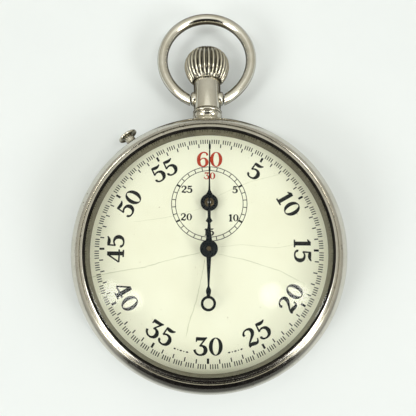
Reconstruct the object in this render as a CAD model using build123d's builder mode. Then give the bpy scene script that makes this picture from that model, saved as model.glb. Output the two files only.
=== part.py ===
"""Mechanical stopwatch with a crown at twelve, a side button and a 30-minute recorder.

Millimetres. The origin is on the sweep-hand axis, on the flat of the back.
+Z points out of the dial, +Y points to twelve o'clock, +X to three o'clock.
"""

from build123d import *
from math import acos, asin, atan2, cos, degrees, hypot, radians, sin
import os

os.makedirs("parts", exist_ok=True)

# ---------------------------------------------------------------- driving dimensions
CASE_R = 25.5  # widest part of the case
CASE_WIDE_Z = 5.6
BAND_FOOT_R = 24.3
BAND_FOOT_Z = 2.9
BAND_TOP_R = 24.95
BAND_TOP_Z = 8.2
BAND_BORE_R = 21.0  # room for the movement
SEAM = 0.05  # gap between bezel and band
BACK_FLAT_R = 17.0
BACK_SHEET = 0.65

DIAL_R = 21.9
DIAL_BOTTOM = 7.1
DIAL_TOP = 8.0
OPENING_R = 21.8  # bezel opening at the glass
LIP_Z = 12.0
GLASS_R = 22.1
GLASS_EDGE_Z = 11.0
GLASS_CROWN_Z = 14.3
GLASS_THICK = 0.9

PLATE_R = 20.8
PLATE_BOTTOM = 4.9
PLATE_TOP = 6.3
BRIDGE_BOTTOM = 1.85
BRIDGE_TOP = 2.85
COCK_TOP = 2.75
RATCHET_BOTTOM = 1.35
RATCHET_TOP = 1.75
LEVER_BOTTOM = 6.65
LEVER_TOP = 6.95

STEM_Z = 5.0  # height of the stem, pendant, bow and button axes
CROWN_R = 4.5
CROWN_WIDE_Y = 37.0
CROWN_FOOT_Y = 34.0
CROWN_FOOT_R = 3.05
CROWN_TOP_Y = 40.85
CROWN_HOLLOW_R = 2.72  # clears the pendant tube
CROWN_FLUTES = 30
PENDANT_R = 2.65
PENDANT_BORE_R = 1.5
PENDANT_TOP_Y = 34.3
CROWN_TRAVEL = 1.2
CROWN_HOLLOW_Y = PENDANT_TOP_Y + CROWN_TRAVEL + 0.2
BOW_R = 8.8  # to the middle of the wire
BOW_WIRE_R = 0.98
BOW_CENTRE_Y = 38.5
BOW_PIVOT_Y = 30.2
BOW_PIVOT_X = 3.4
BUTTON_ANGLE = 34.6  # anticlockwise from twelve
BUTTON_TRAVEL = 1.2
BUTTON_FACE_R = 28.0
BUTTON_CAP = 1.0  # height of the button's head
BUSH_FACE_R = BUTTON_FACE_R - BUTTON_CAP - BUTTON_TRAVEL
RUN_GAP = 0.04  # radial clearance of a running fit

CENTRE = (0.0, 0.0)
DIAL_TURN = 1.15  # the movement and dial sit this far clockwise in the case, in degrees
MINUTE = (0.171, 8.528)
THIRD = (4.418, -0.127)
SECOND = (9.5, 0.3)
BARREL = (9.5, 8.5)
BALANCE_BEARING = 250.0  # direction from the escape wheel through the fork to the balance


def step_from(start, angle, distance):
    """The point at a distance from start in the direction angle (degrees)."""
    x = start[0] + distance * cos(radians(angle))
    y = start[1] + distance * sin(radians(angle))
    return (x, y)


def bearing(start, end):
    """The direction from start to end in degrees."""
    return degrees(atan2(end[1] - start[1], end[0] - start[0]))


def span(start, end):
    return hypot(end[0] - start[0], end[1] - start[1])


ESCAPE = step_from(CENTRE, 240, 4.235)
PALLET = step_from(ESCAPE, BALANCE_BEARING, 3.0)
BALANCE = step_from(PALLET, BALANCE_BEARING, 4.0)
INTERMEDIATE = (-0.823, 3.832)
CROWN_WHEEL = (0.0, 13.3)
HAMMER = (-13.5, 2.0)
LEVER = (8.0, 14.6)
COLUMN = (13.2, 8.0)
BRAKE = (-13.0, -4.0)
CLICK = (1.4, 6.6)
BARREL_FEET = [(-6.0, 16.5), (17.6, 2.8), (4.2, 17.8)]
TRAIN_FEET = [(12.5, -6.0), (-8.2, 2.5)]
COCK_FOOT = (-7.8, -16.4)
PALLET_FOOT = (-9.4, -5.0)
SPRING_FOOT = (-2.5, 8.2)
DIAL_FOOT_ANGLES = (50, 170, 290)
DIAL_FEET = [step_from(CENTRE, angle, 18.5) for angle in DIAL_FOOT_ANGLES]
FOOT_SCREW_Z = 5.7
CASE_SCREWS = [step_from(CENTRE, angle, 20.2) for angle in (205, 335)]
STUDS = [HAMMER, LEVER, COLUMN]

# teeth and modules
BARREL_TEETH, BARREL_MODULE = 72, 0.2
SECOND_LEAVES = 10
SECOND_TEETH, SECOND_MODULE = 60, 0.15
THIRD_LEAVES = 8
THIRD_TEETH, THIRD_MODULE = 60, 0.13
CENTRE_LEAVES = 8
SECONDS_TEETH, SECONDS_MODULE = 70, 0.11
ESCAPE_LEAVES = 7
DRIVER_LEAVES, DRIVER_MODULE = 8, 0.14
INTERMEDIATE_TEETH, INTERMEDIATE_LEAVES = 48, 8
MINUTE_TEETH, MINUTE_MODULE = 40, 0.2
WIND_LEAVES, CONTRATE_TEETH = 10, 20
CONTRATE_R = 2.6
SPUR_TEETH, RATCHET_TEETH = 30, 50
SPUR_MODULE = 2 * span(CROWN_WHEEL, BARREL) / (SPUR_TEETH + RATCHET_TEETH)
ESCAPE_TEETH, ESCAPE_R = 15, 2.6

# the pivots that run in jewels: place and pivot radius
LOWER_JEWELS = [(CENTRE, 0.15), (THIRD, 0.12), (SECOND, 0.14), (ESCAPE, 0.10)]
PLATE_JEWELS = [(THIRD, 0.12), (SECOND, 0.14), (ESCAPE, 0.10), (PALLET, 0.09), (BALANCE, 0.09)]
ARBOR_JEWELS = [(CENTRE, 0.40), (MINUTE, 0.40), (INTERMEDIATE, 0.30)]
JEWEL_R = 0.75
ARBOR_JEWEL_R = 1.0
JEWEL_THICK = 0.5
JEWEL_GAP = 0.03

BUTTON_TURN = radians(BUTTON_ANGLE)
BUTTON_PLANE = Plane(
    origin=(0, 0, STEM_Z),
    x_dir=(cos(BUTTON_TURN), sin(BUTTON_TURN), 0),
    z_dir=(0, 0, 1),
)
STEM_PLANE = Plane(origin=(0, 0, STEM_Z), x_dir=(1, 0, 0), z_dir=(0, 0, 1))
DISH_PLANE = Plane.XZ  # x is the radius, y is the height


def radial_plane(angle, height):
    """A level plane whose y axis points outwards in the direction angle (degrees)."""
    turn = radians(angle - 90)
    return Plane(origin=(0, 0, height), x_dir=(cos(turn), sin(turn), 0), z_dir=(0, 0, 1))


# ---------------------------------------------------------------- shared shapes
def disc(radius, bottom, top, places=(CENTRE,), mode=Mode.ADD):
    """Upright cylinders at the given places."""
    with BuildSketch(Plane.XY.offset(bottom)) as section:
        with Locations(*places):
            Circle(radius)
    extrude(section.sketch, amount=top - bottom, mode=mode)


def ring(outer, inner, bottom, top, places=(CENTRE,), mode=Mode.ADD):
    """Upright tubes at the given places."""
    with BuildSketch(Plane.XY.offset(bottom)) as section:
        with Locations(*places):
            Circle(outer)
            Circle(inner, mode=Mode.SUBTRACT)
    extrude(section.sketch, amount=top - bottom, mode=mode)


def shaft(steps, place=CENTRE):
    """A stepped arbor: each step is (radius, bottom, top)."""
    for radius, bottom, top in steps:
        disc(radius, bottom, top, (place,))


def lathe(plane, corners, mode=Mode.ADD):
    """Turn a straight-sided outline, given as (radius, distance), about the plane's y axis."""
    with BuildSketch(plane) as section:
        with BuildLine():
            Polyline(*corners, close=True)
        make_face()
    revolve(section.sketch, axis=Axis(plane.origin, plane.y_dir), mode=mode)


def blob(circles, bottom, top, mode=Mode.ADD):
    """A plate whose outline wraps the circles (place, radius)."""
    with BuildSketch(Plane.XY.offset(bottom)) as section:
        for place, radius in circles:
            with Locations(place):
                Circle(radius)
        make_hull()
    extrude(section.sketch, amount=top - bottom, mode=mode)


def gear_face(teeth, module, turn, place=CENTRE, addendum=0.8):
    """The outline of a gear with one tooth centred on the direction turn (degrees)."""
    pitch_r = teeth * module / 2
    tip_r = pitch_r + addendum * module
    root_r = pitch_r - 1.0 * module
    step = 360 / teeth
    corners = []
    for tooth in range(teeth):
        middle = turn + step * tooth
        corners.append(step_from(place, middle - 0.27 * step, root_r))
        corners.append(step_from(place, middle - 0.12 * step, tip_r))
        corners.append(step_from(place, middle + 0.12 * step, tip_r))
        corners.append(step_from(place, middle + 0.27 * step, root_r))
    with BuildLine() as outline:
        Polyline(*corners, close=True)
    make_face(outline.edges())


def solid_gear(teeth, module, turn, place, bottom, top, bore=0.0):
    """A plain gear disc, with a round bore if one is given."""
    with BuildSketch(Plane.XY.offset(bottom)) as section:
        gear_face(teeth, module, turn, place)
        if bore > 0:
            with Locations(place):
                Circle(bore, mode=Mode.SUBTRACT)
    extrude(section.sketch, amount=top - bottom)


def train_wheel(teeth, module, turn, place, bottom, top, bore, arms=5):
    """A crossed-out train wheel: toothed rim, arms, hub and bore."""
    root_r = teeth * module / 2 - 1.0 * module
    rim_r = root_r - 0.12 * root_r
    hub_r = max(bore + 0.35, 0.2 * root_r)
    with BuildSketch(Plane.XY.offset(bottom)) as section:
        gear_face(teeth, module, turn, place)
        with Locations(place):
            Circle(rim_r, mode=Mode.SUBTRACT)
            with PolarLocations(0, arms):
                Rectangle(rim_r + 0.02 * root_r, 0.09 * root_r, align=(Align.MIN, Align.CENTER))
            Circle(hub_r)
            Circle(bore, mode=Mode.SUBTRACT)
    extrude(section.sketch, amount=top - bottom)


def heart(place, low_r, high_r, notch, bottom, top, bore):
    """A heart cam: its radius grows evenly from the notch to the point opposite."""
    count = 48
    corners = []
    for index in range(count):
        turn = 360 * index / count
        share = 1 - abs(turn - 180) / 180
        corners.append(step_from(place, notch + turn, low_r + (high_r - low_r) * share))
    with BuildSketch(Plane.XY.offset(bottom)) as section:
        with BuildLine():
            Polyline(*corners, close=True)
        make_face()
        with Locations(place):
            Circle(bore, mode=Mode.SUBTRACT)
    extrude(section.sketch, amount=top - bottom)


def spiral_strip(place, inner_r, outer_r, turns, width, bottom, top):
    """A flat coiled spring."""
    count = int(turns * 16)
    points = []
    for index in range(count + 1):
        share = index / count
        points.append(step_from(place, 360 * turns * share, inner_r + (outer_r - inner_r) * share))
    near = [step_from(place, bearing(place, point), span(place, point) - width / 2) for point in points]
    far = [step_from(place, bearing(place, point), span(place, point) + width / 2) for point in points]
    with BuildSketch(Plane.XY.offset(bottom)) as section:
        with BuildLine():
            Spline(*near)
            Spline(*far)
            Line(near[0], far[0])
            Line(near[-1], far[-1])
        make_face()
    extrude(section.sketch, amount=top - bottom)


def dome_arc(edge_r, edge_z, crown_z):
    """The arc of a round dome, from its edge up to the axis."""
    rise = crown_z - edge_z
    radius = (edge_r**2 + rise**2) / (2 * rise)
    swing = degrees(asin(edge_r / radius))
    return CenterArc((0, crown_z - radius), radius, 90 - swing, swing)


def coil(plane, radius, pitch, height, wire_r):
    """A coil spring that stands on the plane."""
    with BuildLine() as path:
        Helix(pitch=pitch, height=height, radius=radius, center=plane.origin, direction=plane.z_dir)
    with BuildSketch(Plane(origin=path.line @ 0, z_dir=path.line % 0)) as wire:
        Circle(wire_r)
    sweep(wire.sketch, path=path.line, is_frenet=True)


def slotted_heads(places, head_r, head_bottom, head_top, shank_r, shank_top):
    """Screws put in from the back: a slotted head below a shank."""
    disc(head_r, head_bottom, head_top, places)
    disc(shank_r, head_top, shank_top, places)
    with BuildSketch(Plane.XY.offset(head_bottom)) as slots:
        with Locations(*places):
            Rectangle(2.2 * head_r, 0.25 * head_r, rotation=30)
    extrude(slots.sketch, amount=0.4 * (head_top - head_bottom), mode=Mode.SUBTRACT)


def band_outline():
    """The outside of the case middle, closed on the axis."""
    with BuildLine() as outline:
        foot = Line((0, BAND_FOOT_Z), (BAND_FOOT_R, BAND_FOOT_Z))
        belly = ThreePointArc(foot @ 1, (CASE_R, CASE_WIDE_Z), (BAND_TOP_R, BAND_TOP_Z))
        top = Line(belly @ 1, (0, BAND_TOP_Z))
        Line(top @ 1, foot @ 0)
    make_face(outline.edges())


# ---------------------------------------------------------------- case
with BuildPart() as case_band:
    with BuildSketch(DISH_PLANE):
        band_outline()
    revolve(axis=Axis.Z)
    disc(BAND_BORE_R, BAND_FOOT_Z, BAND_TOP_Z, mode=Mode.SUBTRACT)
    disc(DIAL_R + 0.2, DIAL_BOTTOM - 0.1, BAND_TOP_Z, mode=Mode.SUBTRACT)
    ring(BAND_BORE_R + 0.6, BAND_BORE_R - 0.5, 4.25, PLATE_BOTTOM, mode=Mode.SUBTRACT)
    ring(23.05, 22.25, BAND_TOP_Z, BAND_TOP_Z + 0.75)
    with BuildSketch(Plane.XZ.offset(-BAND_BORE_R + 1)):
        with Locations((0, STEM_Z)):
            Circle(0.9)
    extrude(amount=-6, mode=Mode.SUBTRACT)
    lathe(BUTTON_PLANE, [(0, 20), (1.7, 20), (1.7, 27), (0, 27)], mode=Mode.SUBTRACT)
case_band.part.label = "case_band"
export_step(case_band.part, "parts/case_band.step")

with BuildPart() as back_cover:
    with BuildSketch(DISH_PLANE):
        with BuildLine():
            flat = Line((0, 0), (BACK_FLAT_R, 0))
            dome = ThreePointArc(flat @ 1, (21.3, 0.72), (BAND_FOOT_R, 2.3))
            Polyline(
                dome @ 1,
                (BAND_FOOT_R, BAND_FOOT_Z - 0.02),
                (BAND_BORE_R - 0.05, BAND_FOOT_Z - 0.02),
                (BAND_BORE_R - 0.05, 3.5),
                (20.3, 3.5),
                (20.3, 1.1),
                (BACK_FLAT_R, BACK_SHEET),
                (0, BACK_SHEET),
                (0, 0),
            )
        make_face()
    revolve(axis=Axis.Z)
    with BuildSketch(Plane.XY.offset(2.35)):
        with Locations(step_from(CENTRE, -65, BAND_FOOT_R - 0.1)):
            SlotOverall(3.6, 1.7, rotation=25)
    extrude(amount=0.5)
back_cover.part.label = "back_cover"
export_step(back_cover.part, "parts/back_cover.step")

with BuildPart() as bezel:
    with BuildSketch(DISH_PLANE):
        with BuildLine():
            foot = Polyline(
                (21.6, DIAL_TOP + SEAM),
                (22.05, DIAL_TOP + SEAM),
                (22.05, BAND_TOP_Z + SEAM),
                (22.2, BAND_TOP_Z + SEAM),
                (22.2, 9.0),
                (23.1, 9.0),
                (23.1, BAND_TOP_Z + SEAM),
                (BAND_TOP_R, BAND_TOP_Z + SEAM),
            )
            swell = ThreePointArc(foot @ 1, (24.1, 10.6), (22.7, LIP_Z - 0.05))
            lip = ThreePointArc(swell @ 1, (22.35, LIP_Z + 0.05), (OPENING_R, LIP_Z - 0.2))
            Polyline(
                lip @ 1,
                (OPENING_R, GLASS_EDGE_Z + 0.75),
                (GLASS_R + 0.03, GLASS_EDGE_Z + 0.75),
                (GLASS_R + 0.03, GLASS_EDGE_Z - 0.03),
                (OPENING_R - 0.05, GLASS_EDGE_Z - 0.03),
                (21.6, DIAL_TOP + SEAM),
            )
        make_face()
    revolve(axis=Axis.Z)
bezel.part.label = "bezel"
export_step(bezel.part, "parts/bezel.step")

with BuildPart() as crystal:
    with BuildSketch(DISH_PLANE):
        with BuildLine():
            edge = Polyline(
                (GLASS_R - 0.35, GLASS_EDGE_Z + 0.7),
                (GLASS_R, GLASS_EDGE_Z + 0.7),
                (GLASS_R, GLASS_EDGE_Z),
                (GLASS_R - 0.9, GLASS_EDGE_Z),
            )
            inside = dome_arc(GLASS_R - 0.9, GLASS_EDGE_Z, GLASS_CROWN_Z - GLASS_THICK)
            outside = dome_arc(GLASS_R - 0.35, GLASS_EDGE_Z + 0.7, GLASS_CROWN_Z)
            Line(inside @ 1, outside @ 1)
        make_face()
    revolve(axis=Axis.Z)
crystal.part.label = "crystal"
export_step(crystal.part, "parts/crystal.step")

with BuildPart() as pendant:
    with BuildSketch(Plane.XZ.offset(-23)):
        with Locations((0, STEM_Z)):
            Ellipse(6.2, 1.75)
    extrude(amount=-4)
    with BuildSketch(DISH_PLANE):
        band_outline()
        offset(amount=0.4)
        with Locations((-5, 5)):
            Rectangle(10, 30, mode=Mode.SUBTRACT)
    revolve(axis=Axis.Z, mode=Mode.INTERSECT)
    collar = [(2.7, 25.2), (2.95, 25.8), (2.7, 26.5)]
    bead = [(2.4, 26.65), (2.4, 26.8), (2.7, 27.0), (2.8, 27.25), (2.7, 27.45), (2.4, 27.6)]
    rim = [(PENDANT_R, PENDANT_TOP_Y - 0.2), (PENDANT_R - 0.2, PENDANT_TOP_Y), (0, PENDANT_TOP_Y)]
    lathe(STEM_PLANE, [(0, 23.0), (2.7, 23.0), *collar, *bead, (PENDANT_R, 27.8), *rim])
    with BuildSketch(Plane.YZ.offset(-3.3)):
        with Locations((BOW_PIVOT_Y, STEM_Z)):
            Circle(1.45)
    extrude(amount=6.6)
    with BuildSketch(DISH_PLANE):
        band_outline()
    revolve(axis=Axis.Z, mode=Mode.SUBTRACT)
    disc(BAND_FOOT_R + SEAM, 0, BAND_FOOT_Z, mode=Mode.SUBTRACT)
    lathe(STEM_PLANE, [(0, 22), (PENDANT_BORE_R, 22), (PENDANT_BORE_R, 40), (0, 40)], mode=Mode.SUBTRACT)
    with BuildSketch(Plane.YZ.offset(-3.4)):
        with Locations((BOW_PIVOT_Y, STEM_Z)):
            Circle(0.6 + RUN_GAP)
    extrude(amount=1.1, mode=Mode.SUBTRACT)
    with BuildSketch(Plane.YZ.offset(3.4)):
        with Locations((BOW_PIVOT_Y, STEM_Z)):
            Circle(0.6 + RUN_GAP)
    extrude(amount=-1.1, mode=Mode.SUBTRACT)
pendant.part.label = "pendant"
export_step(pendant.part, "parts/pendant.step")

with BuildPart() as pendant_sleeve:
    lathe(
        STEM_PLANE,
        [(0.64, 26.0), (PENDANT_BORE_R, 26.0), (PENDANT_BORE_R, 32.0), (0.64, 32.0)],
    )
pendant_sleeve.part.label = "pendant_sleeve"
export_step(pendant_sleeve.part, "parts/pendant_sleeve.step")

with BuildPart() as button_bush:
    lathe(
        BUTTON_PLANE,
        [
            (0.55, 21.9), (1.7, 21.9), (1.7, BUSH_FACE_R - 0.2), (1.55, BUSH_FACE_R), (1.0, BUSH_FACE_R),
            (1.0, 22.4), (0.55, 22.4),
        ],
    )
button_bush.part.label = "button_bush"
export_step(button_bush.part, "parts/button_bush.step")

with BuildPart() as case_screws:
    slotted_heads(CASE_SCREWS, 1.2, 4.3, PLATE_BOTTOM, 0.45, 6.2)
    for angle in DIAL_FOOT_ANGLES:
        lathe(radial_plane(angle, FOOT_SCREW_Z), [(0, 18.95), (0.35, 18.95), (0.35, 20.6), (0, 20.6)])
case_screws.part.label = "case_screws"
export_step(case_screws.part, "parts/case_screws.step")

# ---------------------------------------------------------------- frame of the movement
with BuildPart() as main_plate:
    disc(PLATE_R, PLATE_BOTTOM, PLATE_TOP)
    ring(PLATE_R, PLATE_R - 1.0, PLATE_TOP, DIAL_BOTTOM)
    disc(ARBOR_JEWEL_R, PLATE_BOTTOM, PLATE_TOP, [CENTRE, MINUTE], mode=Mode.SUBTRACT)
    disc(ARBOR_JEWEL_R, PLATE_BOTTOM, PLATE_TOP, [INTERMEDIATE], mode=Mode.SUBTRACT)
    disc(JEWEL_R, PLATE_BOTTOM, PLATE_TOP, [place for place, _ in PLATE_JEWELS], mode=Mode.SUBTRACT)
    disc(0.8 + RUN_GAP, PLATE_BOTTOM, PLATE_TOP, [BARREL], mode=Mode.SUBTRACT)
    disc(0.45, PLATE_BOTTOM, PLATE_TOP + 1, DIAL_FEET, mode=Mode.SUBTRACT)
    disc(0.45, PLATE_BOTTOM, 6.2, CASE_SCREWS, mode=Mode.SUBTRACT)
    disc(0.4, PLATE_BOTTOM, 6.1, BARREL_FEET + TRAIN_FEET + [COCK_FOOT, PALLET_FOOT], mode=Mode.SUBTRACT)
    disc(0.5, PLATE_BOTTOM, PLATE_TOP, STUDS + [BRAKE], mode=Mode.SUBTRACT)
    with BuildSketch(Plane.XY.offset(PLATE_BOTTOM)):
        with Locations((0, 14.05)):
            Rectangle(1.6, 2.4)
        with Locations((0, 16.15)):
            Rectangle(3.4, 2.0)
    extrude(amount=DIAL_BOTTOM - PLATE_BOTTOM, mode=Mode.SUBTRACT)
    with BuildSketch(Plane.XY.offset(PLATE_BOTTOM)):
        with Locations((0, 19.0)):
            Rectangle(1.4, 4.5)
    extrude(amount=0.8, mode=Mode.SUBTRACT)
    with BuildSketch(BUTTON_PLANE.offset(PLATE_BOTTOM - STEM_Z)):
        with Locations((-0.3, 20.0)):
            Rectangle(4.8, 3.4)
    extrude(amount=DIAL_BOTTOM - PLATE_BOTTOM, mode=Mode.SUBTRACT)
    for angle in DIAL_FOOT_ANGLES:
        screw_hole = [(0, 18.5), (0.35, 18.5), (0.35, 21), (0, 21)]
        lathe(radial_plane(angle, FOOT_SCREW_Z), screw_hole, mode=Mode.SUBTRACT)
main_plate.part.label = "main_plate"
export_step(main_plate.part, "parts/main_plate.step")

with BuildPart() as barrel_bridge:
    blob(
        [(BARREL, 4.2), (CROWN_WHEEL, 2.6), (CLICK, 1.0), (SPRING_FOOT, 0.9)]
        + [(foot, 1.4) for foot in BARREL_FEET],
        BRIDGE_BOTTOM,
        BRIDGE_TOP,
    )
    disc(1.2, BRIDGE_TOP, PLATE_BOTTOM, BARREL_FEET)
    disc(0.4, BRIDGE_BOTTOM, PLATE_BOTTOM, BARREL_FEET, mode=Mode.SUBTRACT)
    disc(1.0 + RUN_GAP, BRIDGE_BOTTOM, BRIDGE_TOP, [BARREL], mode=Mode.SUBTRACT)
    disc(0.7 + RUN_GAP, BRIDGE_BOTTOM, BRIDGE_TOP, [CROWN_WHEEL], mode=Mode.SUBTRACT)
    disc(0.35, BRIDGE_BOTTOM, BRIDGE_TOP, [CLICK, SPRING_FOOT], mode=Mode.SUBTRACT)
barrel_bridge.part.label = "barrel_bridge"
export_step(barrel_bridge.part, "parts/barrel_bridge.step")

with BuildPart() as train_bridge:
    blob(
        [(CENTRE, 1.5), (THIRD, 1.3), (SECOND, 1.6), (ESCAPE, 1.2)] + [(foot, 1.4) for foot in TRAIN_FEET],
        BRIDGE_BOTTOM,
        BRIDGE_TOP,
    )
    disc(1.2, BRIDGE_TOP, PLATE_BOTTOM, TRAIN_FEET)
    disc(0.4, BRIDGE_BOTTOM, PLATE_BOTTOM, TRAIN_FEET, mode=Mode.SUBTRACT)
    disc(JEWEL_R, BRIDGE_BOTTOM, BRIDGE_TOP, [place for place, _ in LOWER_JEWELS], mode=Mode.SUBTRACT)
train_bridge.part.label = "train_bridge"
export_step(train_bridge.part, "parts/train_bridge.step")

with BuildPart() as balance_cock:
    blob([(BALANCE, 2.0), (COCK_FOOT, 1.5)], BRIDGE_BOTTOM, COCK_TOP)
    disc(1.3, COCK_TOP, PLATE_BOTTOM, [COCK_FOOT])
    disc(0.4, BRIDGE_BOTTOM, PLATE_BOTTOM, [COCK_FOOT], mode=Mode.SUBTRACT)
    disc(JEWEL_R, BRIDGE_BOTTOM, COCK_TOP, [BALANCE], mode=Mode.SUBTRACT)
balance_cock.part.label = "balance_cock"
export_step(balance_cock.part, "parts/balance_cock.step")

PALLET_COCK_BOTTOM = 3.72
PALLET_COCK_TOP = 4.0
with BuildPart() as pallet_cock:
    blob([(PALLET, 0.9), (PALLET_FOOT, 1.0)], PALLET_COCK_BOTTOM, PALLET_COCK_TOP)
    disc(1.0, PALLET_COCK_TOP, PLATE_BOTTOM, [PALLET_FOOT])
    disc(0.3, PALLET_COCK_BOTTOM, PLATE_BOTTOM, [PALLET_FOOT], mode=Mode.SUBTRACT)
    disc(0.45, PALLET_COCK_BOTTOM, PALLET_COCK_TOP, [PALLET], mode=Mode.SUBTRACT)
pallet_cock.part.label = "pallet_cock"
export_step(pallet_cock.part, "parts/pallet_cock.step")

with BuildPart() as bridge_screws:
    slotted_heads(BARREL_FEET + TRAIN_FEET + [COCK_FOOT], 0.8, 1.45, BRIDGE_BOTTOM, 0.4, 6.1)
    slotted_heads([PALLET_FOOT], 0.6, 3.4, PALLET_COCK_BOTTOM, 0.3, 6.1)
bridge_screws.part.label = "bridge_screws"
export_step(bridge_screws.part, "parts/bridge_screws.step")

with BuildPart() as jewels:
    for place, pivot in LOWER_JEWELS:
        ring(JEWEL_R, pivot + JEWEL_GAP, BRIDGE_TOP - JEWEL_THICK, BRIDGE_TOP, [place])
    for place, pivot in PLATE_JEWELS:
        ring(JEWEL_R, pivot + JEWEL_GAP, PLATE_BOTTOM, PLATE_BOTTOM + JEWEL_THICK, [place])
    for place, pivot in ARBOR_JEWELS:
        ring(ARBOR_JEWEL_R, pivot + JEWEL_GAP, PLATE_BOTTOM, PLATE_BOTTOM + 0.8, [place])
    ring(JEWEL_R, 0.09 + JEWEL_GAP, COCK_TOP - JEWEL_THICK, COCK_TOP, [BALANCE])
    ring(0.45, 0.09 + JEWEL_GAP, PALLET_COCK_BOTTOM, PALLET_COCK_TOP, [PALLET])
jewels.part.label = "jewels"
export_step(jewels.part, "parts/jewels.step")

with BuildPart() as pivot_studs:
    disc(0.5, PLATE_BOTTOM, LEVER_TOP + 0.1, STUDS)
    disc(0.5, 3.2, PLATE_TOP, [BRAKE])
    disc(0.35, RATCHET_BOTTOM - 0.05, BRIDGE_TOP, [CLICK])
pivot_studs.part.label = "pivot_studs"
export_step(pivot_studs.part, "parts/pivot_studs.step")

# ---------------------------------------------------------------- dial
with BuildPart() as dial:
    disc(DIAL_R, DIAL_BOTTOM, DIAL_TOP)
    disc(0.9, DIAL_BOTTOM, DIAL_TOP, mode=Mode.SUBTRACT)
    disc(0.75, DIAL_BOTTOM, DIAL_TOP, [MINUTE], mode=Mode.SUBTRACT)
    disc(0.4, 5.2, DIAL_BOTTOM, DIAL_FEET)
dial.part.label = "dial"
export_step(dial.part, "parts/dial.step")

# ---------------------------------------------------------------- winding
with BuildPart() as crown:
    with BuildSketch(STEM_PLANE):
        with BuildLine():
            foot = Line((0, CROWN_FOOT_Y), (CROWN_FOOT_R, CROWN_FOOT_Y))
            under = ThreePointArc(foot @ 1, (4.13, 35.4), (CROWN_R, CROWN_WIDE_Y))
            over = ThreePointArc(under @ 1, (3.7, 39.25), (1.3, CROWN_TOP_Y))
            cap = Line(over @ 1, (0, CROWN_TOP_Y))
            Line(cap @ 1, foot @ 0)
        make_face()
    revolve(axis=Axis(STEM_PLANE.origin, STEM_PLANE.y_dir))
    with BuildSketch(Plane.XZ.offset(-CROWN_FOOT_Y)):
        with Locations((0, STEM_Z)):
            with PolarLocations(CROWN_R + 0.05, CROWN_FLUTES):
                Circle(0.3)
    extrude(amount=-10, mode=Mode.SUBTRACT)
    hollow = [(0, 30), (CROWN_HOLLOW_R, 30), (CROWN_HOLLOW_R, CROWN_HOLLOW_Y), (0, CROWN_HOLLOW_Y)]
    lathe(STEM_PLANE, hollow, mode=Mode.SUBTRACT)
    lathe(STEM_PLANE, [(0, 34), (0.6, 34), (0.6, 39.0), (0, 39.0)], mode=Mode.SUBTRACT)
crown.part.label = "crown"
export_step(crown.part, "parts/crown.step")

with BuildPart() as winding_stem:
    lathe(STEM_PLANE, [(0, 18.7), (0.6, 18.7), (0.6, 39.0), (0, 39.0)])
    with BuildSketch(Plane.XZ.offset(-14.9)):
        with Locations((0, STEM_Z)):
            Rectangle(0.84, 0.84)
    extrude(amount=-3.8)
winding_stem.part.label = "winding_stem"
export_step(winding_stem.part, "parts/winding_stem.step")

with BuildPart() as crown_spring:
    coil(Plane(origin=(0, 32.16, STEM_Z), z_dir=(0, 1, 0)), 1.05, 0.42, 1.45, 0.12)
crown_spring.part.label = "crown_spring"
export_step(crown_spring.part, "parts/crown_spring.step")

WIND_FOOT_Y = 15.3
with BuildPart() as winding_pinion:
    with BuildSketch(Plane(origin=(0, WIND_FOOT_Y, STEM_Z), x_dir=(1, 0, 0), z_dir=(0, 1, 0))):
        gear_face(WIND_LEAVES, 2 * CONTRATE_R / CONTRATE_TEETH, 90, addendum=0.75)
        Rectangle(0.94, 0.94, mode=Mode.SUBTRACT)
    extrude(amount=1.6)
winding_pinion.part.label = "winding_pinion"
export_step(winding_pinion.part, "parts/winding_pinion.step")

with BuildPart() as crown_wheel:
    disc(CONTRATE_R + 0.25, 3.05, 3.4, [CROWN_WHEEL])
    disc(0.7, RATCHET_TOP, 3.05, [CROWN_WHEEL])
    with BuildSketch(Plane.XY.offset(3.4)):
        with Locations(CROWN_WHEEL):
            with PolarLocations(CONTRATE_R, CONTRATE_TEETH, start_angle=90 + 180 / CONTRATE_TEETH):
                Rectangle(0.5, 0.28)
    extrude(amount=0.38)
    solid_gear(
        SPUR_TEETH, SPUR_MODULE, bearing(CROWN_WHEEL, BARREL), CROWN_WHEEL, RATCHET_BOTTOM, RATCHET_TOP
    )
    slotted_heads([CROWN_WHEEL], 1.3, 1.1, RATCHET_BOTTOM, 0.6, RATCHET_TOP)
crown_wheel.part.label = "crown_wheel"
export_step(crown_wheel.part, "parts/crown_wheel.step")

with BuildPart() as ratchet_wheel:
    ratchet_turn = bearing(BARREL, CROWN_WHEEL) + 180 / RATCHET_TEETH
    solid_gear(RATCHET_TEETH, SPUR_MODULE, ratchet_turn, BARREL, RATCHET_BOTTOM, RATCHET_TOP)
    with BuildSketch(Plane.XY.offset(RATCHET_BOTTOM)):
        with Locations(BARREL):
            Rectangle(1.2, 1.2)
    extrude(amount=RATCHET_TOP - RATCHET_BOTTOM, mode=Mode.SUBTRACT)
ratchet_wheel.part.label = "ratchet_wheel"
export_step(ratchet_wheel.part, "parts/ratchet_wheel.step")

with BuildPart() as ratchet_screw:
    slotted_heads([BARREL], 1.5, 1.1, RATCHET_BOTTOM, 0.3, 3.0)
ratchet_screw.part.label = "ratchet_screw"
export_step(ratchet_screw.part, "parts/ratchet_screw.step")

with BuildPart() as barrel_arbor:
    with BuildSketch(Plane.XY.offset(RATCHET_BOTTOM)):
        with Locations(BARREL):
            Rectangle(1.2, 1.2)
    extrude(amount=RATCHET_TOP - RATCHET_BOTTOM)
    shaft([(1.0, RATCHET_TOP, 3.5), (1.2, 3.5, 4.8), (0.8, 4.8, 6.0)], BARREL)
    disc(0.3, RATCHET_BOTTOM, 3.0, [BARREL], mode=Mode.SUBTRACT)
barrel_arbor.part.label = "barrel_arbor"
export_step(barrel_arbor.part, "parts/barrel_arbor.step")

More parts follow.
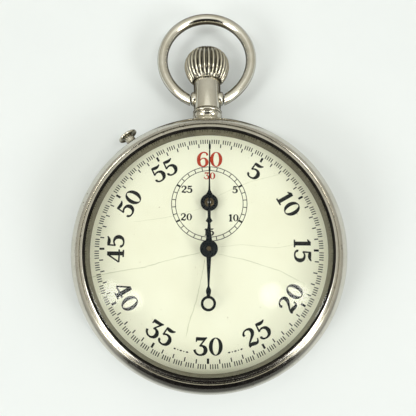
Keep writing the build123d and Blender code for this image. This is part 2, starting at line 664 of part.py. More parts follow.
with BuildPart() as click:
    tip = step_from(BARREL, 205, RATCHET_TEETH * SPUR_MODULE / 2 + 0.8 * SPUR_MODULE + 0.2)
    blob([(CLICK, 0.8), (tip, 0.12)], 1.4, 1.7)
    disc(0.35 + RUN_GAP, 1.4, 1.7, [CLICK], mode=Mode.SUBTRACT)
click.part.label = "click"
export_step(click.part, "parts/click.step")

with BuildPart() as click_spring:
    blob([(SPRING_FOOT, 0.7), ((-0.2, 5.95), 0.1)], 1.55, BRIDGE_BOTTOM)
    disc(0.35, BRIDGE_BOTTOM, BRIDGE_TOP, [SPRING_FOOT])
click_spring.part.label = "click_spring"
export_step(click_spring.part, "parts/click_spring.step")

# ---------------------------------------------------------------- power and train
with BuildPart() as barrel_drum:
    solid_gear(
        BARREL_TEETH, BARREL_MODULE, bearing(BARREL, SECOND), BARREL, 4.25, 4.55, 6.4
    )
    ring(6.75, 6.4, 3.85, 4.25, [BARREL])
    ring(6.75, 1.2 + RUN_GAP, 3.6, 3.85, [BARREL])
barrel_drum.part.label = "barrel_drum"
export_step(barrel_drum.part, "parts/barrel_drum.step")

with BuildPart() as barrel_cover:
    ring(6.6, 1.2 + RUN_GAP, 4.55, 4.75, [BARREL])
barrel_cover.part.label = "barrel_cover"
export_step(barrel_cover.part, "parts/barrel_cover.step")

with BuildPart() as mainspring:
    spiral_strip(BARREL, 1.9, 6.2, 7, 0.16, 3.9, 4.5)
mainspring.part.label = "mainspring"
export_step(mainspring.part, "parts/mainspring.step")

with BuildPart() as second_pinion:
    shaft([(0.14, 2.4, 2.9), (0.4, 2.9, 4.85), (0.14, 4.85, 5.4)], SECOND)
    second_turn = bearing(SECOND, BARREL) + 180 / SECOND_LEAVES
    solid_gear(SECOND_LEAVES, BARREL_MODULE, second_turn, SECOND, 4.15, 4.75)
second_pinion.part.label = "second_pinion"
export_step(second_pinion.part, "parts/second_pinion.step")

with BuildPart() as second_wheel:
    train_wheel(SECOND_TEETH, SECOND_MODULE, bearing(SECOND, THIRD), SECOND, 2.95, 3.15, 0.4)
second_wheel.part.label = "second_wheel"
export_step(second_wheel.part, "parts/second_wheel.step")

with BuildPart() as third_pinion:
    shaft([(0.12, 2.4, 2.9), (0.25, 2.9, 4.85), (0.12, 4.85, 5.4)], THIRD)
    third_turn = bearing(THIRD, SECOND) + 180 / THIRD_LEAVES
    solid_gear(THIRD_LEAVES, SECOND_MODULE, third_turn, THIRD, 2.9, 3.2)
third_pinion.part.label = "third_pinion"
export_step(third_pinion.part, "parts/third_pinion.step")

with BuildPart() as third_wheel:
    train_wheel(THIRD_TEETH, THIRD_MODULE, bearing(THIRD, CENTRE), THIRD, 3.27, 3.47, 0.25)
third_wheel.part.label = "third_wheel"
export_step(third_wheel.part, "parts/third_wheel.step")

with BuildPart() as seconds_arbor:
    shaft([(0.15, 2.4, 2.9), (0.3, 2.9, 4.85), (0.4, 4.85, 7.05), (0.3, 7.05, 10.3)])
    centre_turn = bearing(CENTRE, THIRD) + 180 / CENTRE_LEAVES
    solid_gear(CENTRE_LEAVES, THIRD_MODULE, centre_turn, CENTRE, 3.24, 3.5)
    driver_turn = bearing(CENTRE, INTERMEDIATE)
    solid_gear(DRIVER_LEAVES, DRIVER_MODULE, driver_turn, CENTRE, 4.2, 4.55)
seconds_arbor.part.label = "seconds_arbor"
export_step(seconds_arbor.part, "parts/seconds_arbor.step")

with BuildPart() as seconds_wheel:
    train_wheel(SECONDS_TEETH, SECONDS_MODULE, bearing(CENTRE, ESCAPE), CENTRE, 3.6, 3.8, 0.3)
seconds_wheel.part.label = "seconds_wheel"
export_step(seconds_wheel.part, "parts/seconds_wheel.step")

with BuildPart() as seconds_heart:
    heart(CENTRE, 0.9, 1.7, 90, 6.7, 6.98, 0.4)
seconds_heart.part.label = "seconds_heart"
export_step(seconds_heart.part, "parts/seconds_heart.step")

with BuildPart() as intermediate_pinion:
    disc(0.3, 4.2, 6.62, [INTERMEDIATE])
    leaf_turn = bearing(INTERMEDIATE, MINUTE)
    solid_gear(INTERMEDIATE_LEAVES, MINUTE_MODULE, leaf_turn, INTERMEDIATE, 6.34, 6.62)
intermediate_pinion.part.label = "intermediate_pinion"
export_step(intermediate_pinion.part, "parts/intermediate_pinion.step")

with BuildPart() as intermediate_wheel:
    middle_turn = bearing(INTERMEDIATE, CENTRE) + 180 / INTERMEDIATE_TEETH
    train_wheel(INTERMEDIATE_TEETH, DRIVER_MODULE, middle_turn, INTERMEDIATE, 4.27, 4.47, 0.3)
intermediate_wheel.part.label = "intermediate_wheel"
export_step(intermediate_wheel.part, "parts/intermediate_wheel.step")

with BuildPart() as minute_arbor:
    shaft([(0.8, 4.6, 4.85), (0.4, 4.85, 7.05), (0.3, 7.05, 9.35)], MINUTE)
minute_arbor.part.label = "minute_arbor"
export_step(minute_arbor.part, "parts/minute_arbor.step")

with BuildPart() as minute_wheel:
    minute_turn = bearing(MINUTE, INTERMEDIATE) + 180 / MINUTE_TEETH
    train_wheel(MINUTE_TEETH, MINUTE_MODULE, minute_turn, MINUTE, 6.38, 6.6, 0.4)
minute_wheel.part.label = "minute_wheel"
export_step(minute_wheel.part, "parts/minute_wheel.step")

with BuildPart() as minute_heart:
    heart(MINUTE, 0.8, 1.4, 110, 6.7, 6.98, 0.4)
minute_heart.part.label = "minute_heart"
export_step(minute_heart.part, "parts/minute_heart.step")

# ---------------------------------------------------------------- hands
HAND_THICK = 0.2
HAND_BORE = 0.3
HUB_R = 1.6
SWEEP_Z = 10.0
SWEEP_TIP = 20.0
EYE_Y, EYE_R, EYE_BORE = -9.55, 1.33, 0.89
MINUTE_Z = 9.05


def mirrored(side):
    """A closed outline from its right half, given as (half width, distance)."""
    return side + [(-x, y) for x, y in reversed(side)]


with BuildPart() as seconds_hand:
    with BuildSketch(radial_plane(90 - DIAL_TURN, SWEEP_Z)):
        with BuildLine():
            pointer = [(0.55, 0), (0.55, 1.5), (0.4, 2.7), (0.27, 4.4), (0.2, 12.0), (0.15, SWEEP_TIP)]
            Polyline(*mirrored(pointer), close=True)
        make_face()
        with BuildLine():
            tail = [(0.45, 0), (0.27, -4.0), (0.15, -6.6), (0.48, -7.3), (0.2, -8.5)]
            Polyline(*mirrored(tail), close=True)
        make_face()
        Circle(HUB_R)
        with Locations((0, EYE_Y)):
            Circle(EYE_R)
            Circle(EYE_BORE, mode=Mode.SUBTRACT)
        Circle(HAND_BORE, mode=Mode.SUBTRACT)
    extrude(amount=HAND_THICK)
    ring(0.7, HAND_BORE, 9.6, SWEEP_Z)
seconds_hand.part.label = "seconds_hand"
export_step(seconds_hand.part, "parts/seconds_hand.step")

with BuildPart() as minute_hand:
    minute_turn_out = radians(DIAL_TURN)
    minute_plane = Plane(
        origin=(MINUTE[0], MINUTE[1], MINUTE_Z),
        x_dir=(cos(minute_turn_out), -sin(minute_turn_out), 0),
        z_dir=(0, 0, 1),
    )
    with BuildSketch(minute_plane):
        with BuildLine():
            pointer = [(0.5, 0), (0.75, 1.3), (0.2, 2.3), (0.12, 6.1)]
            Polyline(*mirrored(pointer), close=True)
        make_face()
        with BuildLine():
            tail = [(0.3, 0), (0.25, -2.8), (0.63, -3.4), (0.25, -3.75), (0.05, -4.9)]
            Polyline(*mirrored(tail), close=True)
        make_face()
        Circle(HUB_R)
        Circle(HAND_BORE, mode=Mode.SUBTRACT)
    extrude(amount=HAND_THICK)
    ring(0.6, HAND_BORE, 8.6, MINUTE_Z, [MINUTE])
minute_hand.part.label = "minute_hand"
export_step(minute_hand.part, "parts/minute_hand.step")

# ---------------------------------------------------------------- escapement
with BuildPart() as escape_pinion:
    shaft([(0.10, 2.4, 2.9), (0.2, 2.9, 4.85), (0.10, 4.85, 5.4)], ESCAPE)
    escape_turn = bearing(ESCAPE, CENTRE) + 180 / ESCAPE_LEAVES
    solid_gear(ESCAPE_LEAVES, SECONDS_MODULE, escape_turn, ESCAPE, 3.55, 3.85)
escape_pinion.part.label = "escape_pinion"
export_step(escape_pinion.part, "parts/escape_pinion.step")

with BuildPart() as escape_wheel:
    step = 360 / ESCAPE_TEETH
    tooth_corners = []
    for tooth in range(ESCAPE_TEETH):
        middle = BALANCE_BEARING + step * tooth
        tooth_corners.append(step_from(ESCAPE, middle - 0.45 * step, 2.0))
        tooth_corners.append(step_from(ESCAPE, middle - 0.10 * step, ESCAPE_R - 0.08))
        tooth_corners.append(step_from(ESCAPE, middle + 0.08 * step, ESCAPE_R))
        tooth_corners.append(step_from(ESCAPE, middle + 0.02 * step, 2.0))
    with BuildSketch(Plane.XY.offset(4.15)):
        with BuildLine():
            Polyline(*tooth_corners, close=True)
        make_face()
        with Locations(ESCAPE):
            Circle(1.75, mode=Mode.SUBTRACT)
            with PolarLocations(0, 4):
                Rectangle(1.85, 0.2, align=(Align.MIN, Align.CENTER))
            Circle(0.5)
            Circle(0.2, mode=Mode.SUBTRACT)
    extrude(amount=0.2)
escape_wheel.part.label = "escape_wheel"
export_step(escape_wheel.part, "parts/escape_wheel.step")

ENTRY = step_from(ESCAPE, BALANCE_BEARING - 30, ESCAPE_R + 0.32)
EXIT = step_from(ESCAPE, BALANCE_BEARING + 30, ESCAPE_R + 0.32)
FORK_TIP = step_from(PALLET, BALANCE_BEARING, 3.0)
with BuildPart() as pallet_fork:
    blob([(PALLET, 0.42), (ENTRY, 0.22)], 4.15, 4.35)
    blob([(PALLET, 0.42), (EXIT, 0.22)], 4.15, 4.35)
    blob([(PALLET, 0.3), (FORK_TIP, 0.12)], 4.15, 4.35)
    with BuildSketch(Plane.XY.offset(4.15)):
        with Locations(step_from(PALLET, BALANCE_BEARING, 3.2)):
            Rectangle(0.55, 0.9, rotation=BALANCE_BEARING)
        with Locations(step_from(PALLET, BALANCE_BEARING, 3.35)):
            Rectangle(0.35, 0.36, rotation=BALANCE_BEARING, mode=Mode.SUBTRACT)
    extrude(amount=0.2)
    shaft([(0.09, 3.74, 4.05), (0.2, 4.05, 4.85), (0.09, 4.85, 5.35)], PALLET)
    for stone in (ENTRY, EXIT):
        with BuildSketch(Plane.XY.offset(4.15)):
            with Locations(stone):
                Rectangle(0.4, 0.18, rotation=bearing(ESCAPE, stone))
        extrude(amount=0.2, mode=Mode.SUBTRACT)
pallet_fork.part.label = "pallet_fork"
export_step(pallet_fork.part, "parts/pallet_fork.step")

with BuildPart() as pallet_stones:
    for stone in (ENTRY, EXIT):
        with BuildSketch(Plane.XY.offset(4.15)):
            with Locations(stone):
                Rectangle(0.4, 0.18, rotation=bearing(ESCAPE, stone))
        extrude(amount=0.2)
pallet_stones.part.label = "pallet_stones"
export_step(pallet_stones.part, "parts/pallet_stones.step")

BALANCE_R = 4.8
with BuildPart() as balance_wheel:
    ring(BALANCE_R, BALANCE_R - 0.6, 3.25, 3.65, [BALANCE])
    with BuildSketch(Plane.XY.offset(3.35)):
        with Locations(BALANCE):
            Rectangle(2 * BALANCE_R - 1.1, 0.6)
            Circle(0.8)
            Circle(0.35, mode=Mode.SUBTRACT)
    extrude(amount=0.2)
balance_wheel.part.label = "balance_wheel"
export_step(balance_wheel.part, "parts/balance_wheel.step")

with BuildPart() as balance_staff:
    shaft([(0.09, 2.3, 2.8), (0.35, 2.8, 4.8), (0.09, 4.8, 5.35)], BALANCE)
balance_staff.part.label = "balance_staff"
export_step(balance_staff.part, "parts/balance_staff.step")

IMPULSE = step_from(BALANCE, BALANCE_BEARING + 180, 0.72)
with BuildPart() as roller:
    ring(1.0, 0.35, 3.75, 3.95, [BALANCE])
    disc(0.1, 3.95, 4.10, [IMPULSE])
roller.part.label = "roller"
export_step(roller.part, "parts/roller.step")

with BuildPart() as hairspring:
    spiral_strip(BALANCE, 0.7, 2.6, 8, 0.05, 2.95, 3.08)
hairspring.part.label = "hairspring"
export_step(hairspring.part, "parts/hairspring.step")

with BuildPart() as regulator:
    with BuildSketch(Plane.XY.offset(1.6)):
        with Locations(BALANCE):
            Circle(1.4)
            Rectangle(3.6, 0.3, align=(Align.MIN, Align.CENTER), rotation=75)
            Circle(0.8, mode=Mode.SUBTRACT)
    extrude(amount=0.2)
regulator.part.label = "regulator"
export_step(regulator.part, "parts/regulator.step")

# ---------------------------------------------------------------- start, stop and reset
with BuildPart() as operating_lever:
    blob([(LEVER, 1.1), ((0.0, 14.6), 0.25)], LEVER_BOTTOM, LEVER_TOP)
    blob([(LEVER, 1.1), ((12.2, 10.8), 0.3)], LEVER_BOTTOM, LEVER_TOP)
    disc(0.5 + RUN_GAP, LEVER_BOTTOM, LEVER_TOP, [LEVER], mode=Mode.SUBTRACT)
    with BuildSketch(Plane.XY.offset(4.6)):
        with Locations((0, 14.6)):
            Rectangle(1.1, 0.5)
    extrude(amount=LEVER_TOP - 4.6)
operating_lever.part.label = "operating_lever"
export_step(operating_lever.part, "parts/operating_lever.step")

COLUMN_TEETH = 15
COLUMN_COUNT = 5
with BuildPart() as column_wheel:
    step = 360 / COLUMN_TEETH
    saw_corners = []
    for tooth in range(COLUMN_TEETH):
        saw_corners.append(step_from(COLUMN, step * tooth, 1.5))
        saw_corners.append(step_from(COLUMN, step * (tooth + 0.95), 1.9))
    with BuildSketch(Plane.XY.offset(6.36)):
        with BuildLine():
            Polyline(*saw_corners, close=True)
        make_face()
    extrude(amount=0.25)
    with BuildSketch(Plane.XY.offset(6.61)):
        with Locations(COLUMN):
            with PolarLocations(1.1, COLUMN_COUNT):
                Rectangle(0.5, 0.6)
    extrude(amount=0.37)
    disc(0.5 + RUN_GAP, 6.36, 6.98, [COLUMN], mode=Mode.SUBTRACT)
column_wheel.part.label = "column_wheel"
export_step(column_wheel.part, "parts/column_wheel.step")

BRAKE_TIP = step_from(BALANCE, 160, BALANCE_R + 0.3)
with BuildPart() as brake_lever:
    blob([(BRAKE, 0.95), (BRAKE_TIP, 0.25)], 3.3, 3.55)
    disc(0.5 + RUN_GAP, 3.3, 3.55, [BRAKE], mode=Mode.SUBTRACT)
brake_lever.part.label = "brake_lever"
export_step(brake_lever.part, "parts/brake_lever.step")

HAMMER_TAIL = (-11.47, 16.63)
with BuildPart() as reset_hammer:
    blob([(HAMMER, 1.2), ((0.2, 3.9), 0.3)], 6.7, 6.98)
    blob([(HAMMER, 1.2), ((-1.9, 12.0), 0.3)], 6.7, 6.98)
    blob([(HAMMER, 1.2), (HAMMER_TAIL, 0.3)], 6.7, 6.98)
    disc(0.5 + RUN_GAP, 6.7, 6.98, [HAMMER], mode=Mode.SUBTRACT)
    with BuildSketch(BUTTON_PLANE.offset(4.6 - STEM_Z)):
        with Locations((-0.65, 20.2)):
            Rectangle(2.4, 0.6)
    extrude(amount=6.98 - 4.6)
reset_hammer.part.label = "reset_hammer"
export_step(reset_hammer.part, "parts/reset_hammer.step")

with BuildPart() as side_button:
    lathe(
        BUTTON_PLANE,
        [
            (0, 20.6), (0.5, 20.6), (0.5, 24.4), (0.96, 24.4), (0.96, 27.2), (1.5, 27.3), (1.9, 27.5),
            (1.9, 27.85), (1.75, BUTTON_FACE_R), (0, BUTTON_FACE_R),
        ],
    )
side_button.part.label = "side_button"
export_step(side_button.part, "parts/side_button.step")

with BuildPart() as button_spring:
    spring_foot = BUTTON_PLANE.from_local_coords((0, 22.5, 0))
    coil(Plane(origin=spring_foot, z_dir=BUTTON_PLANE.y_dir), 0.76, 0.2, 0.55, 0.07)
button_spring.part.label = "button_spring"
export_step(button_spring.part, "parts/button_spring.step")

# ---------------------------------------------------------------- bow
KNUCKLE_R = 0.9
with BuildPart() as bow:
    start_angle = degrees(-acos((BOW_PIVOT_X + 0.35) / BOW_R))
    with BuildLine() as bow_line:
        CenterArc((0, BOW_CENTRE_Y, STEM_Z), BOW_R, start_angle, 180 - 2 * start_angle)
    with BuildSketch(Plane(origin=bow_line.line @ 0, z_dir=bow_line.line % 0)):
        Circle(BOW_WIRE_R)
    sweep()
    for side in (-1, 1):
        with BuildSketch(Plane.YZ.offset(side * BOW_PIVOT_X)):
            with Locations((BOW_PIVOT_Y, STEM_Z)):
                Circle(KNUCKLE_R)
        extrude(amount=side * 1.0)
        with BuildSketch(Plane.YZ.offset(side * BOW_PIVOT_X)):
            with Locations((BOW_PIVOT_Y, STEM_Z)):
                Circle(0.6)
        extrude(amount=-side * 0.9)
bow.part.label = "bow"
export_step(bow.part, "parts/bow.step")
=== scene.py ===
"""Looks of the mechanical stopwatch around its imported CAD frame. Lengths are in mm until mesh time."""

import math
import random

import bmesh
import bpy
from mathutils import Matrix, Vector
from mathutils.geometry import tessellate_polygon


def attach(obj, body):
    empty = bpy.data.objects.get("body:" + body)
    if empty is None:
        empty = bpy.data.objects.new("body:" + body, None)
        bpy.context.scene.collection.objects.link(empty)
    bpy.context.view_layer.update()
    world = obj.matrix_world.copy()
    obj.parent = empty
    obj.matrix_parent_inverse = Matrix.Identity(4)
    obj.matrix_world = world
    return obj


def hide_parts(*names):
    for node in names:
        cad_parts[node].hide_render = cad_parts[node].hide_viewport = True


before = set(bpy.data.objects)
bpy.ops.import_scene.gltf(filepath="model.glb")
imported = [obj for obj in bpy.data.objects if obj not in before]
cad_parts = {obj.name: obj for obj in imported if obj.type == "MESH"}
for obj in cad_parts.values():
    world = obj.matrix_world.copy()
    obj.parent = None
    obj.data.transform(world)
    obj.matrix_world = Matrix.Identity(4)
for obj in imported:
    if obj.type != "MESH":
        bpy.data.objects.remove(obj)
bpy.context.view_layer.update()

MM = 0.001
FINE = 256  # segments of a large turned shape
SHARP = 32  # degrees between faces, above which an edge stays sharp
WEAR_SCALE = 260  # tarnish patches per metre
DIAL_Z = 8.0
STEM_Z = 5.0
MINUTE = (0.171, 8.528)
DIAL_TURN = math.radians(1.15)  # the dial and movement sit this far clockwise in the case
BUTTON_ANGLE = math.radians(34.6)
CROWN_Y = 37.05  # where the crown is widest
BOW_PIVOT_Y = 30.2


# ---------------------------------------------------------------- materials
def node(tree, kind, **values):
    made = tree.nodes.new(kind)
    for key, value in values.items():
        setattr(made, key, value)
    return made


def link(tree, start, end):
    tree.links.new(start, end)


def noise(tree, coords, scale, detail, rough, stretch=(1, 1, 1)):
    """A noise value in object space; scale is in features per metre."""
    mapping = node(tree, "ShaderNodeMapping")
    mapping.inputs["Scale"].default_value = stretch
    link(tree, coords, mapping.inputs["Vector"])
    made = node(tree, "ShaderNodeTexNoise")
    made.inputs["Scale"].default_value = scale
    made.inputs["Detail"].default_value = detail
    made.inputs["Roughness"].default_value = rough
    link(tree, mapping.outputs["Vector"], made.inputs["Vector"])
    return made.outputs["Fac"]


def ramp(tree, value, stops):
    """Colours, or grey levels, at places from 0 to 1."""
    made = node(tree, "ShaderNodeValToRGB")
    while len(made.color_ramp.elements) < len(stops):
        made.color_ramp.elements.new(0.5)
    for element, (place, colour) in zip(made.color_ramp.elements, stops):
        element.position = place
        element.color = (*colour, 1) if isinstance(colour, tuple) else (colour, colour, colour, 1)
    link(tree, value, made.inputs["Fac"])
    return made.outputs["Color"]


def metal(name, colour, dull, rough, scratch, bump, corner_shade=None, pits=0.0):
    """Polished metal with uneven tarnish, fine scratches and painted shade in its corners.

    rough is the lowest and highest roughness. The painted shade in the corners takes a colour, a reach in mm,
    and the openness at which it starts and ends. Dark pits show where the noise is below pits.
    """
    mat = bpy.data.materials.new(name)
    mat.use_nodes = True
    tree = mat.node_tree
    tree.nodes.clear()
    out = node(tree, "ShaderNodeOutputMaterial")
    shader = node(tree, "ShaderNodeBsdfPrincipled")
    shader.inputs["Metallic"].default_value = 1.0
    link(tree, shader.outputs["BSDF"], out.inputs["Surface"])
    coords = node(tree, "ShaderNodeTexCoord").outputs["Object"]
    wear = noise(tree, coords, WEAR_SCALE, 6.0, 0.62)
    tone = ramp(tree, wear, [(0.35, colour), (0.72, dull)])
    if pits:
        spots = ramp(tree, noise(tree, coords, 1500, 3.0, 0.65), [(pits - 0.04, 1.0), (pits, 0.0)])
        spotted = node(tree, "ShaderNodeMix", data_type="RGBA")
        link(tree, spots, spotted.inputs[0])
        link(tree, tone, spotted.inputs[6])
        spotted.inputs[7].default_value = (0.20, 0.165, 0.11, 1)
        tone = spotted.outputs[2]
    # painted shade: ambient occlusion darkens corners and hollows towards a dark colour
    if corner_shade:
        corner = node(tree, "ShaderNodeAmbientOcclusion")
        corner.samples = 8
        corner.inputs["Distance"].default_value = corner_shade[1] * MM
        shade = ramp(tree, corner.outputs["AO"], [(corner_shade[2], 0.0), (corner_shade[3], 1.0)])
        mix = node(tree, "ShaderNodeMix", data_type="RGBA")
        mix.inputs[6].default_value = (*corner_shade[0], 1)
        link(tree, shade, mix.inputs[0])
        link(tree, tone, mix.inputs[7])
        tone = mix.outputs[2]
    link(tree, tone, shader.inputs["Base Color"])
    fine = noise(tree, coords, WEAR_SCALE * 4, 5.0, 0.6)
    level = ramp(tree, fine, [(0.3, rough[0]), (0.75, rough[1])])
    link(tree, level, shader.inputs["Roughness"])
    lines = noise(tree, coords, 9000, 2.0, 0.5, (1, 0.05, 0.4))
    cross = noise(tree, coords, 7000, 2.0, 0.5, (0.06, 1, 0.3))
    both = node(tree, "ShaderNodeMath", operation="ADD")
    link(tree, lines, both.inputs[0])
    link(tree, cross, both.inputs[1])
    relief = node(tree, "ShaderNodeBump")
    relief.inputs["Strength"].default_value = scratch
    relief.inputs["Distance"].default_value = bump * MM
    link(tree, both.outputs[0], relief.inputs["Height"])
    link(tree, relief.outputs["Normal"], shader.inputs["Normal"])
    return mat


def paint(name, colour, other, rough=0.35, coat=0.0, scale=300, shine=0.5):
    """A dense opaque colour with slight unevenness."""
    mat = bpy.data.materials.new(name)
    mat.use_nodes = True
    tree = mat.node_tree
    shader = tree.nodes["Principled BSDF"]
    coords = node(tree, "ShaderNodeTexCoord").outputs["Object"]
    tone = ramp(tree, noise(tree, coords, scale, 5.0, 0.6), [(0.35, colour), (0.7, other)])
    link(tree, tone, shader.inputs["Base Color"])
    shader.inputs["Roughness"].default_value = rough
    shader.inputs["Coat Weight"].default_value = coat
    shader.inputs["Specular IOR Level"].default_value = shine
    shader.inputs["Coat Roughness"].default_value = 0.05
    return mat


def enamel():
    """Old cream enamel: yellowed patches, faint grey clouds and pin specks under a glossy skin."""
    mat = bpy.data.materials.new("enamel_cream")
    mat.use_nodes = True
    tree = mat.node_tree
    shader = tree.nodes["Principled BSDF"]
    coords = node(tree, "ShaderNodeTexCoord").outputs["Object"]
    cloud = noise(tree, coords, 90, 5.0, 0.55)
    creams = [(0.3, (0.86, 0.855, 0.69)), (0.5, (0.90, 0.90, 0.74)), (0.72, (0.92, 0.925, 0.775))]
    tone = ramp(tree, cloud, creams)
    grain = noise(tree, coords, 2600, 3.0, 0.6)
    specks = ramp(tree, grain, [(0.255, 1.0), (0.30, 0.0)])
    mix = node(tree, "ShaderNodeMix", data_type="RGBA")
    mix.inputs[7].default_value = (0.42, 0.36, 0.24, 1)
    link(tree, specks, mix.inputs[0])
    link(tree, tone, mix.inputs[6])
    link(tree, mix.outputs[2], shader.inputs["Base Color"])
    shader.inputs["Roughness"].default_value = 0.28
    shader.inputs["Coat Weight"].default_value = 0.35
    shader.inputs["Coat Roughness"].default_value = 0.08
    relief = node(tree, "ShaderNodeBump")
    relief.inputs["Strength"].default_value = 0.08
    relief.inputs["Distance"].default_value = 0.02 * MM
    link(tree, noise(tree, coords, 500, 3.0, 0.5), relief.inputs["Height"])
    link(tree, relief.outputs["Normal"], shader.inputs["Normal"])
    return mat


def clear_glass():
    """Thin clear glass: it lets light straight through and mirrors a little, more at grazing angles."""
    mat = bpy.data.materials.new("glass_clear")
    mat.use_nodes = True
    tree = mat.node_tree
    tree.nodes.clear()
    out = node(tree, "ShaderNodeOutputMaterial")
    through = node(tree, "ShaderNodeBsdfTransparent")
    through.inputs["Color"].default_value = (0.985, 0.99, 0.98, 1)
    mirror = node(tree, "ShaderNodeBsdfGlossy")
    coords = node(tree, "ShaderNodeTexCoord").outputs["Object"]
    haze = noise(tree, coords, 400, 6.0, 0.6)
    link(tree, ramp(tree, haze, [(0.4, 0.02), (0.8, 0.09)]), mirror.inputs["Roughness"])
    fresnel = node(tree, "ShaderNodeFresnel")
    fresnel.inputs["IOR"].default_value = 1.27
    # only faces turned outwards mirror, as light is not bent inside
    inward = node(tree, "ShaderNodeNewGeometry").outputs["Backfacing"]
    share = node(tree, "ShaderNodeMix")
    link(tree, inward, share.inputs[0])
    link(tree, fresnel.outputs["Fac"], share.inputs[2])
    share.inputs[3].default_value = 0.0
    mix = node(tree, "ShaderNodeMixShader")
    link(tree, share.outputs[0], mix.inputs["Fac"])
    link(tree, through.outputs["BSDF"], mix.inputs[1])
    link(tree, mirror.outputs["BSDF"], mix.inputs[2])
    link(tree, mix.outputs["Shader"], out.inputs["Surface"])
    return mat


# the dark colour given after the bump is painted shade laid into each metal's corners
NICKEL = metal("nickel_worn", (0.80, 0.775, 0.69), (0.70, 0.66, 0.56), (0.10, 0.22), 0.10, 0.006,
               corner_shade=((0.10, 0.085, 0.055), 0.5, 0.25, 0.75))
NICKEL_CASE = metal("nickel_case", (0.80, 0.775, 0.695), (0.69, 0.66, 0.575), (0.12, 0.24), 0.10, 0.006,
                    corner_shade=((0.06, 0.05, 0.035), 0.4, 0.2, 0.7), pits=0.34)
# a darker copy of the nickel: painted shade for the bezel's inner wall
NICKEL_REHAUT = metal("nickel_shaded", (0.17, 0.145, 0.10), (0.08, 0.068, 0.045), (0.14, 0.3), 0.10, 0.006)
NICKEL_CROWN = metal("nickel_crown", (0.86, 0.825, 0.71), (0.66, 0.61, 0.48), (0.10, 0.22), 0.12, 0.006,
                     corner_shade=((0.018, 0.016, 0.012), 0.9, 0.5, 0.95))
NICKEL_FOOT = metal("nickel_foot", (0.66, 0.58, 0.43), (0.46, 0.39, 0.27), (0.12, 0.26), 0.12, 0.006,
                    corner_shade=((0.05, 0.04, 0.025), 0.6, 0.25, 0.8))
# near-black paint: painted shade for the gap under the bezel's lip and for the dark mouth of the button's
# hole
PAINTED_SHADE = paint("grime_dark", (0.008, 0.007, 0.006), (0.02, 0.017, 0.013), 0.7, shine=0.1)
BRASS = metal("brass_gilt", (0.88, 0.66, 0.30), (0.72, 0.50, 0.21), (0.2, 0.36), 0.15, 0.006)
WHEEL = metal("brass_wheel", (0.86, 0.68, 0.36), (0.70, 0.52, 0.25), (0.16, 0.3), 0.12, 0.005)
STEEL = metal("steel_bright", (0.66, 0.65, 0.63), (0.5, 0.49, 0.46), (0.14, 0.28), 0.12, 0.005)
BLUED = metal("steel_blued", (0.022, 0.045, 0.16), (0.05, 0.055, 0.14), (0.16, 0.3), 0.08, 0.004)
HAND = metal("steel_hand", (0.006, 0.010, 0.014), (0.018, 0.020, 0.020), (0.22, 0.4), 0.08, 0.004)
HUB_BRASS = metal("brass_old", (0.12, 0.09, 0.05), (0.07, 0.055, 0.035), (0.25, 0.4), 0.12, 0.004)
INK = paint("enamel_black", (0.008, 0.010, 0.011), (0.020, 0.022, 0.021), 0.4, 0.0, 900, 0.15)
INK_SMALL = paint("enamel_black_fine", (0.018, 0.021, 0.021), (0.05, 0.052, 0.046), 0.4, 0.0, 900, 0.15)
INK_RED = paint("enamel_red", (0.42, 0.030, 0.012), (0.52, 0.055, 0.022), 0.4, 0.0, 900, 0.25)
CRACK = paint("enamel_crack", (0.58, 0.60, 0.44), (0.72, 0.73, 0.56), 0.5)
STAIN = paint("enamel_stain", (0.50, 0.43, 0.25), (0.62, 0.57, 0.38), 0.5)
RUBY = paint("ruby_red", (0.45, 0.012, 0.05), (0.6, 0.03, 0.09), 0.08, 0.8)
ENAMEL = enamel()
GLASS = clear_glass()


# ---------------------------------------------------------------- shapes
def arc3(a, b, c, count):
    """Points of the arc through three points."""
    ax, ay, bx, by, cx, cy = *a, *b, *c
    d = 2 * (ax * (by - cy) + bx * (cy - ay) + cx * (ay - by))
    aa, bb, cc = ax * ax + ay * ay, bx * bx + by * by, cx * cx + cy * cy
    ux = (aa * (by - cy) + bb * (cy - ay) + cc * (ay - by)) / d
    uy = (aa * (cx - bx) + bb * (ax - cx) + cc * (bx - ax)) / d
    start = math.atan2(ay - uy, ax - ux)
    middle = (math.atan2(by - uy, bx - ux) - start) % math.tau
    sweep = (math.atan2(cy - uy, cx - ux) - start) % math.tau
    if middle > sweep:
        sweep -= math.tau
    r = math.hypot(ax - ux, ay - uy)
    return [
        (ux + r * math.cos(start + sweep * i / count), uy + r * math.sin(start + sweep * i / count))
        for i in range(count + 1)
    ]


def tidy_mesh(bm, name, angle):
    """Turns a finished bmesh into a smooth mesh with edges over angle degrees kept sharp."""
    bmesh.ops.recalc_face_normals(bm, faces=bm.faces)
    mesh = bpy.data.meshes.new(name)
    bm.to_mesh(mesh)
    bm.free()
    mesh.shade_smooth()
    mesh.set_sharp_from_angle(angle=math.radians(angle))
    return mesh


def add(name, mesh, material, body, stands_for=()):
    """Puts a finished mesh in the scene, riding a body."""
    obj = bpy.data.objects.new(name, mesh)
    bpy.context.scene.collection.objects.link(obj)
    mesh.materials.clear()
    mesh.materials.append(material)
    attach(obj, body)
    if stands_for:
        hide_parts(*stands_for)
    return obj


